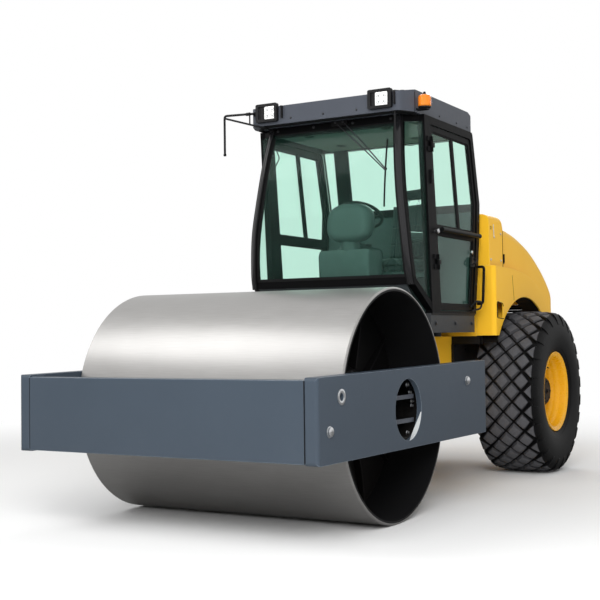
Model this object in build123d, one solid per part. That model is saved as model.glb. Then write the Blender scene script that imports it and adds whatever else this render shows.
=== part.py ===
"""Single-drum vibratory roller: articulated front frame with drum, rear frame with cab, hood and tyres.

Millimetres. +Z is up, the drum end faces -Y and the machine's left side is +X.
The origin is on the ground, on the centre plane, midway along the machine.
"""

from build123d import *
import os
from math import sqrt

# ---------------------------------------------------------------- driving dimensions
# Stations along the machine
FRONT_Y = -2830.0  # outer face of the front crossbeam
DRUM_Y = -1556.0  # drum axis
PIVOT_Y = 94.0  # steering pivot
AXLE_Y = 1650.0  # rear axle
REAR_Y = 2830.0  # rearmost face of the hood

# Drum
DRUM_R = 800.0
DRUM_W = 2110.0
SHELL_T = 28.0
BULKHEAD_X = 620.0  # inner face of each bulkhead
BULKHEAD_T = 30.0
JOURNAL_R = 120.0
RUN = 0.05  # radial clearance of a running fit
SEAT = 0.3  # gap between curved faces that seat on each other
GAP = 6.0  # clearance round a moving panel

# Front frame
PLATE_T = 91.0
PLATE_GAP = 9.0  # drum's end to each side plate
FRAME_W = DRUM_W + 2 * (PLATE_GAP + PLATE_T)
PLATE_Z0 = (524.0, 512.0)  # underside of each side plate, at its front and rear
PLATE_Z1 = (1036.0, 1069.0)  # top of each side plate
FRAME_Z0 = 533.0  # underside of both crossbeams
FRAME_Z1 = 1020.0
PLATE_END_Y = -147.0
BEAM_D = 130.0
BEAM_T = 22.0
REAR_BEAM_Y0 = -520.0
REAR_BEAM_Y1 = -290.0
PORT_R = 207.0  # round port in each side plate
PORT_Y = -1585.0
PORT_Z = 775.0
PORT_WALL = 35.0  # plate left round the port, outside the counterbore
SUPPORT_R = 238.0  # counterbore that seats the drum support
EYE_R = 24.0  # tie-down bore
EYE_RING_R = 48.0
EYE_RING_OUT = 4.0
EYE_Y = -2543.0
EYE_Z = 911.0
PLATE_BOLTS = ((-2694.0, 715.0), (-546.0, 925.0))  # (y, z) of the bolts of the crossbeams
PLATE_BOLT_R = 28.0
PLATE_BOLT_OUT = 14.0

# Hitch
HITCH_Z = 775.0
TRUNNION_R = 90.0
HUB_R = 105.0
HUB_Z0 = 565.0
HUB_Z1 = 985.0
PIN_R = 45.0
EAR_T = 42.0
EAR_GAP = 5.0
LUG_X = 190.0
LUG_DY = -60.0  # rod eye, from the steering pivot
LUG_Z = 720.0
LUG_T = 20.0
ROD_EYE_T = 44.0
ROD_EYE_R = 42.0
BASE_X = 262.0
BASE_DY = 560.0  # barrel pin, from the steering pivot
BARREL_R = 46.0
ROD_R = 25.0
CYL_PIN_R = 20.0

# Rear frame
MEMBER_X = 450.0  # outer face of each longitudinal
MEMBER_T = 32.0
MEMBER_Z0 = 515.0
MEMBER_Z1 = 1250.0
MEMBER_END_Y = 2640.0
AXLE_TUBE_R = 112.0
AXLE_END_X = 565.0  # outer face of each planetary end
SPINDLE_X = 770.0  # end of each spindle
SPINDLE_R = 60.0

# Wheels
TYRE_R = 735.0
TYRE_W = 595.0
TYRE_X = 890.0
RIM_R = 331.0
RIM_FLANGE_R = 363.0
RIM_W = 520.0
RIM_T = 12.0
DISC_X = 945.0  # outer face of the rim's disc
HUB_CAP_R = 130.0

# Cab
CAB_X = 760.0  # outer face of the side frames
CAB_WALL = 60.0
FLOOR_Z0 = 1285.0
FLOOR_Z1 = 1440.0
HEAD_Z0 = 2950.0
HEAD_Z1 = 3005.0
GLASS_T = 6.0
DOOR_T = 34.0
DOOR_IN = 9.0  # door's outer face, inwards of the side frame's

# Hood and fenders
BAY_Y = 864.0  # front face of the bulkhead behind the cab
BAY_TOP = 2320.0
BAY_T = 340.0  # depth of the collar along the machine
LEDGE_Z = 1862.0
FENDER_X = 867.0  # outer face of each fender
FENDER_IN = 690.0
SKIN_T = 10.0  # moulded and pressed skins
HOOD_X = 800.0
HOOD_Z0 = 1190.0
TYRE_CLEAR = 135.0  # arch to tyre
HOOD_HINGE_Y = 2740.0
HOOD_HINGE_Z = 1218.0

# Seat
SEAT_AT = (215.0, 200.0)  # swivel axis
SEAT_TURN = -22.0
SEAT_PAN = 1790.0
SEAT_TOP = 1905.0

DRUM_Z = DRUM_R
AXLE_Z = TYRE_R
PLATE_X1 = FRAME_W / 2
PLATE_X0 = PLATE_X1 - PLATE_T
SIDES = (1, -1)


# ---------------------------------------------------------------- shape helpers
def block(x0, x1, y0, y1, z0, z1):
    """Box between two corners."""
    return Pos((x0 + x1) / 2, (y0 + y1) / 2, (z0 + z1) / 2) * Box(x1 - x0, y1 - y0, z1 - z0)


def outline(rows):
    """Closed face from rows of (u, v, corner radius)."""
    points = [(u, v) for u, v, _ in rows]
    radii = [r for _, _, r in rows]
    if not any(radii):
        return make_face(Polyline(*points, close=True))
    return make_face(FilletPolyline(*points, radius=radii, close=True))


def along_x(rows, x0, x1):
    """Prism along X of a (y, z, radius) outline."""
    return extrude(Plane.YZ.offset(x0) * outline(rows), amount=x1 - x0)


def along_y(rows, y0, y1):
    """Prism along Y of an (x, z, radius) outline."""
    return extrude(Plane.XZ.offset(-y0) * outline(rows), amount=y0 - y1)


def along_z(rows, z0, z1):
    """Prism along Z of an (x, y, radius) outline."""
    return extrude(Plane.XY.offset(z0) * outline(rows), amount=z1 - z0)


def plain(points):
    """Rows with sharp corners."""
    return [(u, v, 0) for u, v in points]


def rod(start, end, radius):
    """Round bar between two points."""
    line = Vector(*end) - Vector(*start)
    return extrude(Plane(origin=start, z_dir=line) * Circle(radius), amount=line.length)


def disc_x(x0, x1, y, z, radius):
    """Cylinder along X."""
    return rod((x0, y, z), (x1, y, z), radius)


def spin_x(rows, y, z):
    """Solid of revolution about an X axis from rows of (x, radius)."""
    face = make_face(Polyline(*rows, close=True))
    return Pos(0, y, z) * revolve(face, axis=Axis.X)


def flip(shape):
    """The same piece on the machine's right."""
    return mirror(shape, about=Plane.YZ)


def tube_path(points, bend, radius):
    """Round bar bent through the points."""
    path = FilletPolyline(*points, radius=bend)
    start = Plane(origin=path @ 0, z_dir=path % 0)
    return sweep(start * Circle(radius), path=path)


def join(pieces):
    """Fuse a list of overlapping pieces."""
    whole = pieces[0]
    for piece in pieces[1:]:
        whole = whole + piece
    return whole


def save(name, *shapes):
    """Write one node."""
    solids = [solid for shape in shapes for solid in shape.solids()]
    shape = solids[0] if len(solids) == 1 else Compound(children=solids)
    export_step(shape, f"parts/{name}.step")


# ---------------------------------------------------------------- drum
SHELL_R = DRUM_R - SHELL_T


def drum_shell():
    rim = 8.0
    half = DRUM_W / 2
    rows = [
        (-half, SHELL_R),
        (half, SHELL_R),
        (half, DRUM_R - rim),
        (half - rim, DRUM_R),
        (-half + rim, DRUM_R),
        (-half, DRUM_R - rim),
    ]
    return spin_x(rows, DRUM_Y, DRUM_Z)


def bulkhead():
    """Dished end disc with its bearing boss, on the left."""
    boss_r = 235.0
    boss_x = BULKHEAD_X + 95.0
    rows = [
        (BULKHEAD_X, JOURNAL_R + RUN),
        (BULKHEAD_X, SHELL_R),
        (BULKHEAD_X + BULKHEAD_T, SHELL_R),
        (BULKHEAD_X + BULKHEAD_T, boss_r + 40.0),
        (boss_x, boss_r),
        (boss_x, JOURNAL_R + RUN),
    ]
    return spin_x(rows, DRUM_Y, DRUM_Z)


def drum_support():
    """Hollow cone that carries the drum's journal and hides the motor, on the left."""
    cone_end = BULKHEAD_X + 150.0
    wall = 24.0
    face = PLATE_X1 - PORT_WALL
    bore = SUPPORT_R - wall
    rows = [
        (BULKHEAD_X + 8.0, 0),
        (BULKHEAD_X + 8.0, JOURNAL_R),
        (cone_end - 10.0, JOURNAL_R),
        (cone_end, 190.0),
        (PLATE_X0 - 60.0, SUPPORT_R - SEAT),
        (face, SUPPORT_R - SEAT),
        (face, bore),
        (PLATE_X0 - 60.0, bore),
        (cone_end + wall, 190.0 - wall),
        (cone_end + wall, 0),
    ]
    shape = spin_x(rows, DRUM_Y, DRUM_Z)
    rib_dz = 80.0
    for dz in (-rib_dz, rib_dz):
        z = PORT_Z + dz
        rib = block(cone_end + 2.0, face - 60.0, DRUM_Y - bore, DRUM_Y + bore, z - 11, z + 11)
        inside = [
            (cone_end, 0),
            (cone_end, 172),
            (PLATE_X0 - 60.0, bore + 6),
            (face, bore + 6),
            (face, 0),
        ]
        shape = shape + (rib & spin_x(inside, DRUM_Y, DRUM_Z))
    motor = disc_x(cone_end + 2.0, PLATE_X0 - 120.0, DRUM_Y, DRUM_Z, 58.0)
    return shape + motor


# ---------------------------------------------------------------- front frame
def front_crossbeam():
    """Channel open to the drum, with stiffening ribs."""
    y1 = FRONT_Y + BEAM_D
    web = block(-PLATE_X0, PLATE_X0, FRONT_Y, FRONT_Y + BEAM_T, FRAME_Z0, FRAME_Z1)
    pieces = [web]
    for z in (FRAME_Z0, FRAME_Z1 - BEAM_T):
        pieces.append(block(-PLATE_X0, PLATE_X0, FRONT_Y, y1, z, z + BEAM_T))
    ribs = 5
    for i in range(ribs):
        x = PLATE_X0 * (-0.8 + 1.6 * i / (ribs - 1))
        pieces.append(block(x - 8, x + 8, FRONT_Y, y1 - 20, FRAME_Z0, FRAME_Z1))
    return join(pieces)


def side_plate():
    """Left side plate: drum port with its counterbore, tie-down bore with its ring, two bolt heads."""
    corner = 24.0
    edge = 12.0
    plan = [
        (PLATE_X0, FRONT_Y, edge),
        (PLATE_X1, FRONT_Y, corner),
        (PLATE_X1, PLATE_END_Y, corner),
        (PLATE_X0, PLATE_END_Y, edge),
    ]
    side = [
        (FRONT_Y, PLATE_Z0[0], corner),
        (FRONT_Y, PLATE_Z1[0], corner),
        (PLATE_END_Y, PLATE_Z1[1], corner),
        (PLATE_END_Y, PLATE_Z0[1], corner),
    ]
    plate = along_x(side, PLATE_X0, PLATE_X1) & along_z(plan, PLATE_Z0[1] - 1, PLATE_Z1[1] + 1)
    wall_x = PLATE_X1 - PORT_WALL
    plate = plate - disc_x(wall_x - 1, PLATE_X1 + 1, PORT_Y, PORT_Z, PORT_R)
    plate = plate - disc_x(PLATE_X0 - 1, wall_x, DRUM_Y, DRUM_Z, SUPPORT_R)
    ring_x = PLATE_X1 + EYE_RING_OUT
    plate = plate + disc_x(PLATE_X1 - 2, ring_x, EYE_Y, EYE_Z, EYE_RING_R)
    for y, z in PLATE_BOLTS:
        plate = plate + disc_x(PLATE_X1 - 2, PLATE_X1 + PLATE_BOLT_OUT, y, z, PLATE_BOLT_R)
    return plate - disc_x(PLATE_X0 - 1, ring_x + 1, EYE_Y, EYE_Z, EYE_R)


def rear_crossbeam():
    """Box beam behind the drum with the oscillation bearing through its middle."""
    wall = 22.0
    housing_r = 165.0
    y0, y1 = REAR_BEAM_Y0, REAR_BEAM_Y1
    z0, z1 = FRAME_Z0, FRAME_Z1
    beam = block(-PLATE_X0, PLATE_X0, y0, y1, z0, z1)
    beam = beam - block(-PLATE_X0 - 1, PLATE_X0 + 1, y0 + wall, y1 - wall, z0 + wall, z1 - wall)
    housing = rod((0, y0, HITCH_Z), (0, y1 + 70, HITCH_Z), housing_r)
    beam = beam + housing
    for side in SIDES:
        beam = beam + block(side * 430 - 10, side * 430 + 10, y0, y1, z0, z1)
    return beam - rod((0, y0 - 1, HITCH_Z), (0, y1 + 71, HITCH_Z), TRUNNION_R + RUN)


def scrapers():
    """Wiper bars close to the drum face, on brackets from the front and rear beams."""
    made = []
    half = DRUM_W / 2 - 25.0
    for sign, beam_y in ((-1, FRONT_Y + BEAM_T), (1, REAR_BEAM_Y0)):
        reach = sqrt(DRUM_R**2 - (DRUM_Z - 640.0) ** 2)
        tip = DRUM_Y + sign * (reach + 12.0)
        arms = join([block(-half, half, min(tip, tip + sign * 60), max(tip, tip + sign * 60), 612, 628)])
        for x in (-640.0, -213.0, 213.0, 640.0):
            arm = [(tip + sign * 30, 620), (tip + sign * 30, 596), (beam_y, 570), (beam_y, 640)]
            arms = arms + along_x(plain(arm), x - 15, x + 15)
        edge = [(tip, 660), (tip + sign * 12, 660), (tip + sign * 12, 612), (tip, 612)]
        blade = along_x(plain(edge), -half, half)
        made.append(arms + blade)
    return made


# ---------------------------------------------------------------- hitch and steering
FLANGE_Y0 = REAR_BEAM_Y1 + 78.0
LUG_Y = PIVOT_Y + LUG_DY
BASE_Y = PIVOT_Y + BASE_DY


def hitch_yoke():
    """Trunnion shaft, flange and vertical steering hub with the rod lugs."""
    trunnion = rod((0, REAR_BEAM_Y0 + 4, HITCH_Z), (0, FLANGE_Y0 + 5, HITCH_Z), TRUNNION_R)
    flange = rod((0, FLANGE_Y0, HITCH_Z), (0, FLANGE_Y0 + 40, HITCH_Z), 150.0)
    hub = rod((0, PIVOT_Y, HUB_Z0), (0, PIVOT_Y, HUB_Z1), HUB_R)
    web_rows = [
        (FLANGE_Y0 + 20, 645),
        (PIVOT_Y, HUB_Z0 + 20),
        (PIVOT_Y, HUB_Z1 - 20),
        (FLANGE_Y0 + 20, 905),
    ]
    web = along_x(plain(web_rows), -55, 55)
    body = join([trunnion, flange, web, hub])
    half = ROD_EYE_T / 2 + 3.0
    for side in SIDES:
        for z0 in (LUG_Z - half - LUG_T, LUG_Z + half):
            rows = [
                (0, PIVOT_Y + 70, 0),
                (0, PIVOT_Y - 150, 0),
                (side * (LUG_X + 20), LUG_Y - 48, 30),
                (side * (LUG_X + 45), LUG_Y + 42, 30),
            ]
            body = body + along_z(rows, z0, z0 + LUG_T)
        for z in (LUG_Z - half - LUG_T - 16, LUG_Z + half + LUG_T):
            body = body + rod((side * LUG_X, LUG_Y, z), (side * LUG_X, LUG_Y, z + 16), CYL_PIN_R + 12)
    bore = rod((0, PIVOT_Y, HUB_Z0 - 30), (0, PIVOT_Y, HUB_Z1 + 30), PIN_R + RUN)
    return body - bore


def steering_pin():
    """Vertical pin through both ears of the rear frame and the hub."""
    z0 = HUB_Z0 - EAR_GAP - EAR_T
    z1 = HUB_Z1 + EAR_GAP + EAR_T
    pin = rod((0, PIVOT_Y, z0), (0, PIVOT_Y, z1), PIN_R)
    return join([pin] + [rod((0, PIVOT_Y, z), (0, PIVOT_Y, z + 14), PIN_R + 22) for z in (z0 - 14, z1)])


def cylinder_line(side):
    """Barrel pin and rod eye of one steering cylinder."""
    base = Vector(side * BASE_X, BASE_Y, LUG_Z)
    eye = Vector(side * LUG_X, LUG_Y, LUG_Z)
    return base, eye, (eye - base).normalized()


ROD_STROKE = 125.0


def cylinder_barrel(side):
    base, eye, way = cylinder_line(side)
    mouth = base + way * ((eye - base).length - ROD_STROKE - 75.0)
    tube = rod(base + way * 64.0, mouth, BARREL_R) + rod(base, base + way * 66.0, 23.0)
    eye_ring = rod(base - Vector(0, 0, 24), base + Vector(0, 0, 24), 44.0)
    gland = rod(mouth - way * 40.0, mouth, BARREL_R + 8)
    bore = rod(base + way * 110.0, mouth + way, ROD_R + RUN)
    hole = rod(base - Vector(0, 0, 25), base + Vector(0, 0, 25), CYL_PIN_R + RUN)
    return tube + eye_ring + gland - bore - hole


def cylinder_rod(side):
    base, eye, way = cylinder_line(side)
    start = base + way * (125.0 + ROD_STROKE)
    bar = rod(start, eye, ROD_R)
    return bar + rod(eye - Vector(0, 0, ROD_EYE_T / 2), eye + Vector(0, 0, ROD_EYE_T / 2), ROD_EYE_R)


# ---------------------------------------------------------------- rear frame
MEMBER_IN = MEMBER_X - MEMBER_T
FENDER_Z0 = MEMBER_Z1 + 5.0
HOOD_EAR_X = 330.0
TOW_Y = MEMBER_END_Y + 75.0
TOW_Z = 720.0
TOW_T = 50.0
TOW_R = 30.0


def arch_y(z, clear):
    """Y where the rear of the wheel arch, clear of the tyre, reaches a height."""
    return AXLE_Y + sqrt((TYRE_R + clear) ** 2 - (z - AXLE_Z) ** 2)


EAR_Z = (HUB_Z0 - EAR_GAP - EAR_T, HUB_Z1 + EAR_GAP)
MEMBER_Y0 = PIVOT_Y + 96.0


def chassis():
    """Two longitudinals tied by the hitch ears, cross plates and the tail plate."""
    rows = [
        (MEMBER_Y0, MEMBER_Z0 - 2, 0),
        (MEMBER_Y0, EAR_Z[1] + EAR_T, 0),
        (MEMBER_Y0 + 300, MEMBER_Z1, 80),
        (MEMBER_END_Y, MEMBER_Z1, 0),
        (MEMBER_END_Y, 640, 60),
        (AXLE_Y + 420, 560, 80),
        (AXLE_Y - 480, 560, 80),
        (PIVOT_Y + 560, MEMBER_Z0 - 2, 80),
    ]
    pieces = []
    for side in SIDES:
        x0, x1 = sorted((side * MEMBER_IN, side * MEMBER_X))
        pieces.append(along_x(rows, x0, x1))
    for z in EAR_Z:
        ear = [
            (-MEMBER_IN, MEMBER_Y0 + 180, 0),
            (-MEMBER_IN, MEMBER_Y0, 0),
            (-118, PIVOT_Y - 118, 90),
            (118, PIVOT_Y - 118, 90),
            (MEMBER_IN, MEMBER_Y0, 0),
            (MEMBER_IN, MEMBER_Y0 + 180, 0),
        ]
        plate = along_z(ear, z, z + EAR_T)
        pieces.append(plate - rod((0, PIVOT_Y, z - 1), (0, PIVOT_Y, z + EAR_T + 1), PIN_R))
    cross_plates = (
        (BASE_Y + 130, 560, MEMBER_Z1),
        (AXLE_Y - 420, 640, ENGINE_Z0 - 20),
        (MEMBER_END_Y - 30, 640, MEMBER_Z1),
    )
    for y0, z0, z1 in cross_plates:
        pieces.append(block(-MEMBER_IN - 1, MEMBER_IN + 1, y0, y0 + 30, z0, z1))
    for side in SIDES:
        x0, x1 = sorted((side * (MEMBER_X - 4), side * (FENDER_IN + 30)))
        pieces.append(block(x0, x1, BAY_Y + SKIN_T + SEAT, BAY_Y + 62, MEMBER_Z1 - 70, FENDER_Z0 - SEAT))
        y_end = arch_y(HOOD_Z0, TYRE_CLEAR)
        pieces.append(block(x0, x1, y_end - 10, y_end + 40, HOOD_Z0 - 60, HOOD_Z0 - SEAT))
    ear_x = HOOD_EAR_X - 26.0
    for side in SIDES:
        for dx in (0, 40):
            x0, x1 = sorted((side * (ear_x + dx), side * (ear_x + dx + 12)))
            rows = [
                (MEMBER_END_Y - 4, HOOD_HINGE_Z - 70, 0),
                (HOOD_HINGE_Y, HOOD_HINGE_Z - 26, 20),
                (HOOD_HINGE_Y + 24, HOOD_HINGE_Z, 20),
                (HOOD_HINGE_Y, HOOD_HINGE_Z + 26, 20),
                (MEMBER_END_Y - 4, HOOD_HINGE_Z + 20, 0),
            ]
            hole = disc_x(x0 - 1, x1 + 1, HOOD_HINGE_Y, HOOD_HINGE_Z, HOOD_PIN_R)
            pieces.append(along_x(rows, x0, x1) - hole)
    tow = [
        (-80, MEMBER_END_Y - 6, 0),
        (80, MEMBER_END_Y - 6, 0),
        (62, TOW_Y + 60, 50),
        (-62, TOW_Y + 60, 50),
    ]
    tow_bore = rod((0, TOW_Y, TOW_Z - 1), (0, TOW_Y, TOW_Z + TOW_T + 1), TOW_R)
    pieces.append(along_z(tow, TOW_Z, TOW_Z + TOW_T) - tow_bore)
    whole = join(pieces)
    for side in SIDES:
        x0, x1 = sorted((side * (MEMBER_IN + 1), side * (BASE_X - 60)))
        for z0 in (LUG_Z - 24 - 3 - 22, LUG_Z + 24 + 3):
            whole = whole + block(x0, x1, BASE_Y - 32, BASE_Y + 135, z0, z0 + 22)
        bore = rod((side * BASE_X, BASE_Y, LUG_Z - 60), (side * BASE_X, BASE_Y, LUG_Z + 60), CYL_PIN_R)
        whole = whole - bore
    return whole - disc_x(-MEMBER_X - 1, MEMBER_X + 1, AXLE_Y, AXLE_Z, AXLE_TUBE_R + SEAT)


def cylinder_pins():
    """Pins of both barrels, through their ears on the longitudinals."""
    made = []
    for side in SIDES:
        x = side * BASE_X
        made.append(rod((x, BASE_Y, LUG_Z - 62), (x, BASE_Y, LUG_Z + 62), CYL_PIN_R))
    return made


def rear_axle():
    """Axle beam with its differential, planetary ends and the two spindles."""
    end = AXLE_END_X - 20.0
    rows = [
        (0, 0),
        (-SPINDLE_X, 0),
        (-SPINDLE_X, SPINDLE_R),
        (-end - 20, SPINDLE_R),
        (-end - 20, 150),
        (-end + 30, 150),
        (-end + 40, AXLE_TUBE_R),
        (-230, AXLE_TUBE_R),
        (-130, 205),
        (130, 205),
        (230, AXLE_TUBE_R),
        (end - 40, AXLE_TUBE_R),
        (end - 30, 150),
        (end + 20, 150),
        (end + 20, SPINDLE_R),
        (SPINDLE_X, SPINDLE_R),
        (SPINDLE_X, 0),
    ]
    axle = spin_x(rows, AXLE_Y, AXLE_Z)
    nose = rod((0, AXLE_Y - 330, AXLE_Z), (0, AXLE_Y, AXLE_Z), 95.0)
    return axle + nose


ENGINE_Z0 = 1010.0


def engine():
    return block(-330, 330, AXLE_Y - 560, AXLE_Y + 420, ENGINE_Z0, 1780)


def engine_feet():
    pieces = []
    for side in SIDES:
        for y in (AXLE_Y - 380, AXLE_Y + 300):
            x0, x1 = sorted((side * 329, side * MEMBER_X))
            pieces.append(block(x0, x1, y - 60, y + 60, MEMBER_Z1 + 0.0, MEMBER_Z1 + 40))
    return pieces


# ---------------------------------------------------------------- wheels
# Tyre section from the bead to the shoulder: outwards of the seat towards the wall, and radius.
WALL_ROWS = [
    (0.0, RIM_FLANGE_R + 22.0),
    (30.0, 425.0),
    (46.0, 480.0),
    (50.5, 535.0),
    (48.0, 595.0),
    (38.0, 645.0),
    (14.0, 690.0),
    (-20.0, 712.0),
]


def tyre():
    """Left tyre: crowned tread, round shoulders, bulged walls down to the beads."""
    bead = RIM_R + SEAT
    seat_x = TYRE_W / 2 - 50.5
    left = [(-seat_x, bead)] + [(-seat_x - out, r) for out, r in WALL_ROWS]
    right = [(-x, r) for x, r in reversed(left)]
    crown = ThreePointArc(left[-1], (0, TYRE_R), right[0])
    edge = Polyline(*left) + crown + Polyline(*right) + Line(right[-1], left[0])
    ring = revolve(make_face(edge), axis=Axis.X)
    return Pos(TYRE_X, AXLE_Y, AXLE_Z) * ring


def rim():
    """Left rim: deep dish to the disc, with flanges both sides."""
    half = RIM_W / 2
    inner = RIM_R - RIM_T
    dish = DISC_X - TYRE_X
    hole = HUB_CAP_R + 1.0
    rows = [
        (-half, inner),
        (-half, RIM_FLANGE_R),
        (-half + RIM_T, RIM_FLANGE_R),
        (-half + RIM_T, RIM_R),
        (half - RIM_T, RIM_R),
        (half - RIM_T, RIM_FLANGE_R),
        (half, RIM_FLANGE_R),
        (half, inner),
        (dish + 100, inner - 6),
        (dish + 70, 285),
        (dish + 20, 278),
        (dish, 240),
        (dish, hole),
        (dish - 16, hole),
        (dish - 16, 236),
        (dish, inner - 30),
        (dish + 40, inner - 12),
        (dish - 40, inner),
    ]
    return Pos(TYRE_X, 0, 0) * spin_x(rows, AXLE_Y, AXLE_Z)


def hub():
    """Left planetary hub, black, through the rim's disc."""
    start = AXLE_END_X + GAP
    spindle_end = SPINDLE_X + 4.0
    bore = SPINDLE_R + RUN
    shoulder = DISC_X - 16.0 - SEAT
    cap_x = DISC_X + 115.0
    rows = [
        (start, bore),
        (start, 165),
        (shoulder, 165),
        (shoulder, HUB_CAP_R),
        (cap_x - 24, HUB_CAP_R),
        (cap_x, HUB_CAP_R - 24),
        (cap_x, 0),
        (spindle_end, 0),
        (spindle_end, bore),
    ]
    return spin_x(rows, AXLE_Y, AXLE_Z)


# ---------------------------------------------------------------- cab
# Lines of the cab's side: rear edge as (y, z), B-pillar as y of its front and rear edges.
REAR_SILL_Z0 = 2330.0  # rail under the rear window
REAR_SILL_Z1 = 2400.0
C_REAR = [(656.0, FLOOR_Z0), (785.0, 2095.0), (806.0, 2400.0), (660.0, HEAD_Z1)]
B_TOP = (-356.0, -255.0)
B_LOW = (-251.0, -95.0)
B_TOP_Z = 2972.0
B_LOW_Z = 1441.0


def b_line(z, edge):
    """Y of the B-pillar's front (0) or rear (1) edge at a height."""
    share = (z - B_LOW_Z) / (B_TOP_Z - B_LOW_Z)
    return B_LOW[edge] + (B_TOP[edge] - B_LOW[edge]) * share


def c_line(z):
    """Y of the C-pillar's rear edge at a height."""
    for (y0, z0), (y1, z1) in zip(C_REAR, C_REAR[1:]):
        if z <= z1:
            return y0 + (y1 - y0) * (z - z0) / (z1 - z0)
    return C_REAR[-1][0]


C_WIDE = 62.0
DOOR_Z0 = FLOOR_Z1 + 22.0
DOOR_Z1 = HEAD_Z0 - 8.0
DOOR_BAR_Z = 2110.0
PANE_EDGE = 44.0
PANE_Z = (
    (DOOR_Z0 + GAP + PANE_EDGE, DOOR_BAR_Z - 34),
    (DOOR_BAR_Z + 34, DOOR_Z1 - GAP - PANE_EDGE),
)


def door_rows(inset, z0, z1, front_gap=0.0):
    """Outline of the door, or of its opening, between the B- and C-pillars."""
    inner = C_WIDE + inset
    zs = (z0 + inset, 2095.0, 2400.0, z1 - inset)
    front = b_line(zs[0], 1) + inset + front_gap
    rows = [(front, zs[0], 25)]
    rows += [(c_line(z) - inner, z, r) for z, r in zip(zs, (25, 0, 0, 40))]
    rows.append((b_line(zs[-1], 1) + inset + front_gap, zs[-1], 25))
    return rows


def side_frame(side):
    """B- and C-pillars with the rails between them, door or window opening cut."""
    rows = [
        (b_line(FLOOR_Z0 + 155, 0), FLOOR_Z0 + 155, 0),
        (c_line(FLOOR_Z0 + 155), FLOOR_Z0 + 155, 0),
        (C_REAR[1][0], C_REAR[1][1], 0),
        (C_REAR[2][0], C_REAR[2][1], 60),
        (C_REAR[3][0], C_REAR[3][1], 30),
        (b_line(HEAD_Z1, 0), HEAD_Z1, 0),
    ]
    x0, x1 = sorted((side * (CAB_X - CAB_WALL), side * CAB_X))
    frame = along_x(rows, x0, x1)
    return frame - along_x(door_rows(0, DOOR_Z0, DOOR_Z1), x0 - 1, x1 + 1)


# A-pillar: rows of (outer x, front y, z) that its curve runs through.
A_KEYS = [
    (735.0, -560.0, 1660.0),
    (727.0, -592.0, 1800.0),
    (705.0, -612.0, 2100.0),
    (669.0, -590.0, 2400.0),
    (632.0, -535.0, 2740.0),
    (603.0, -462.0, HEAD_Z1),
]
A_WIDE = 48.0
A_DEEP = 82.0
A_STEPS = 12
A_CURVE = Spline(*A_KEYS)
A_ROWS = [(p.Z, p.X, p.Y) for p in (A_CURVE @ (i / A_STEPS) for i in range(A_STEPS + 1))]


def a_section(z, x, y, wide, deep):
    """Pillar section at a height: front face turned back a little, square behind."""
    corners = ((x - wide, y), (x, y + 22), (x, y + deep), (x - wide, y + deep))
    return Plane.XY.offset(z) * make_face(Polyline(*corners, close=True))


def a_outer(z):
    """Outer X and front Y of the A-pillar at a height."""
    for (z0, x0, y0), (z1, x1, y1) in zip(A_ROWS, A_ROWS[1:]):
        if z <= z1:
            share = (z - z0) / (z1 - z0)
            return x0 + (x1 - x0) * share, y0 + (y1 - y0) * share
    return A_ROWS[-1][1:]


def a_pillar():
    """Left A-pillar, curved along the windscreen."""
    return loft([a_section(z, x, y, A_WIDE, A_DEEP) for z, x, y in A_ROWS], ruled=True)


# Sloping sill from the foot of the A-pillar down to the B-pillar: Y and top Z of its ends.
SLOPE_Y = (A_ROWS[0][2] + 40.0, b_line(1460, 0) + 30.0)
SLOPE_Z = (1720.0, 1502.0)


def slope_top(y):
    """Top of the sloping sill at a station."""
    share = (y - SLOPE_Y[0]) / (SLOPE_Y[1] - SLOPE_Y[0])
    return SLOPE_Z[0] + (SLOPE_Z[1] - SLOPE_Z[0]) * share


def rail_section(side, y, x, z):
    """Square section of the sloping sill, its outer top corner at (x, z)."""
    wide = CAB_WALL
    points = ((side * (x - wide), z - wide), (side * x, z - wide), (side * x, z), (side * (x - wide), z))
    return Plane.XZ.offset(-y) * make_face(Polyline(*points, close=True))


def cab_frame():
    """Welded frame: four pillars a side, sills, headers and rear rails."""
    pieces = []
    pillar = a_pillar()
    front_rail_x = A_ROWS[-1][1] - 20
    y_head = A_ROWS[-1][2]
    y_low = A_ROWS[0][2]
    for side in SIDES:
        pieces.append(side_frame(side))
        pieces.append(pillar if side > 0 else flip(pillar))
        head = [
            (side * (A_ROWS[-1][1] - A_WIDE), y_head, 0),
            (side * A_ROWS[-1][1], y_head + 22, 0),
            (side * CAB_X, b_line(HEAD_Z0, 0) + 30, 0),
            (side * (CAB_X - CAB_WALL), b_line(HEAD_Z0, 0) + 60, 0),
        ]
        pieces.append(along_z(head, HEAD_Z0, HEAD_Z1))
        ends = ((SLOPE_Y[0], A_ROWS[0][1], SLOPE_Z[0]), (SLOPE_Y[1], CAB_X, SLOPE_Z[1]))
        pieces.append(loft([rail_section(side, *end) for end in ends], ruled=True))
    pieces.append(block(-front_rail_x, front_rail_x, y_head, y_head + 70, HEAD_Z0, HEAD_Z1))
    pieces.append(block(-A_ROWS[0][1] + 20, A_ROWS[0][1] - 20, y_low, y_low + 60, 1662, 1720))
    inner = CAB_X - CAB_WALL + 1
    rear_y = c_line(HEAD_Z0) - C_WIDE + 6
    pieces.append(block(-inner, inner, rear_y, rear_y + 52, HEAD_Z0, HEAD_Z1))
    pieces.append(block(-inner, inner, C_REAR[2][0] - 58, C_REAR[2][0] - 8, REAR_SILL_Z0, REAR_SILL_Z1))
    return join(pieces)


BASE_FRONT_Y = b_line(1440, 0) - 20.0


def cab_base():
    """Floor pan with its skirt."""
    y0 = BASE_FRONT_Y
    y1 = c_line(FLOOR_Z0)
    pan = block(-CAB_X + 6, CAB_X - 6, y0, y1, FLOOR_Z0, FLOOR_Z1 - SEAT)
    hollow = block(-CAB_X + 40, CAB_X - 40, y0 + 34, y1 - 34, FLOOR_Z0 - 1, FLOOR_Z1 - 42)
    return pan - hollow


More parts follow.
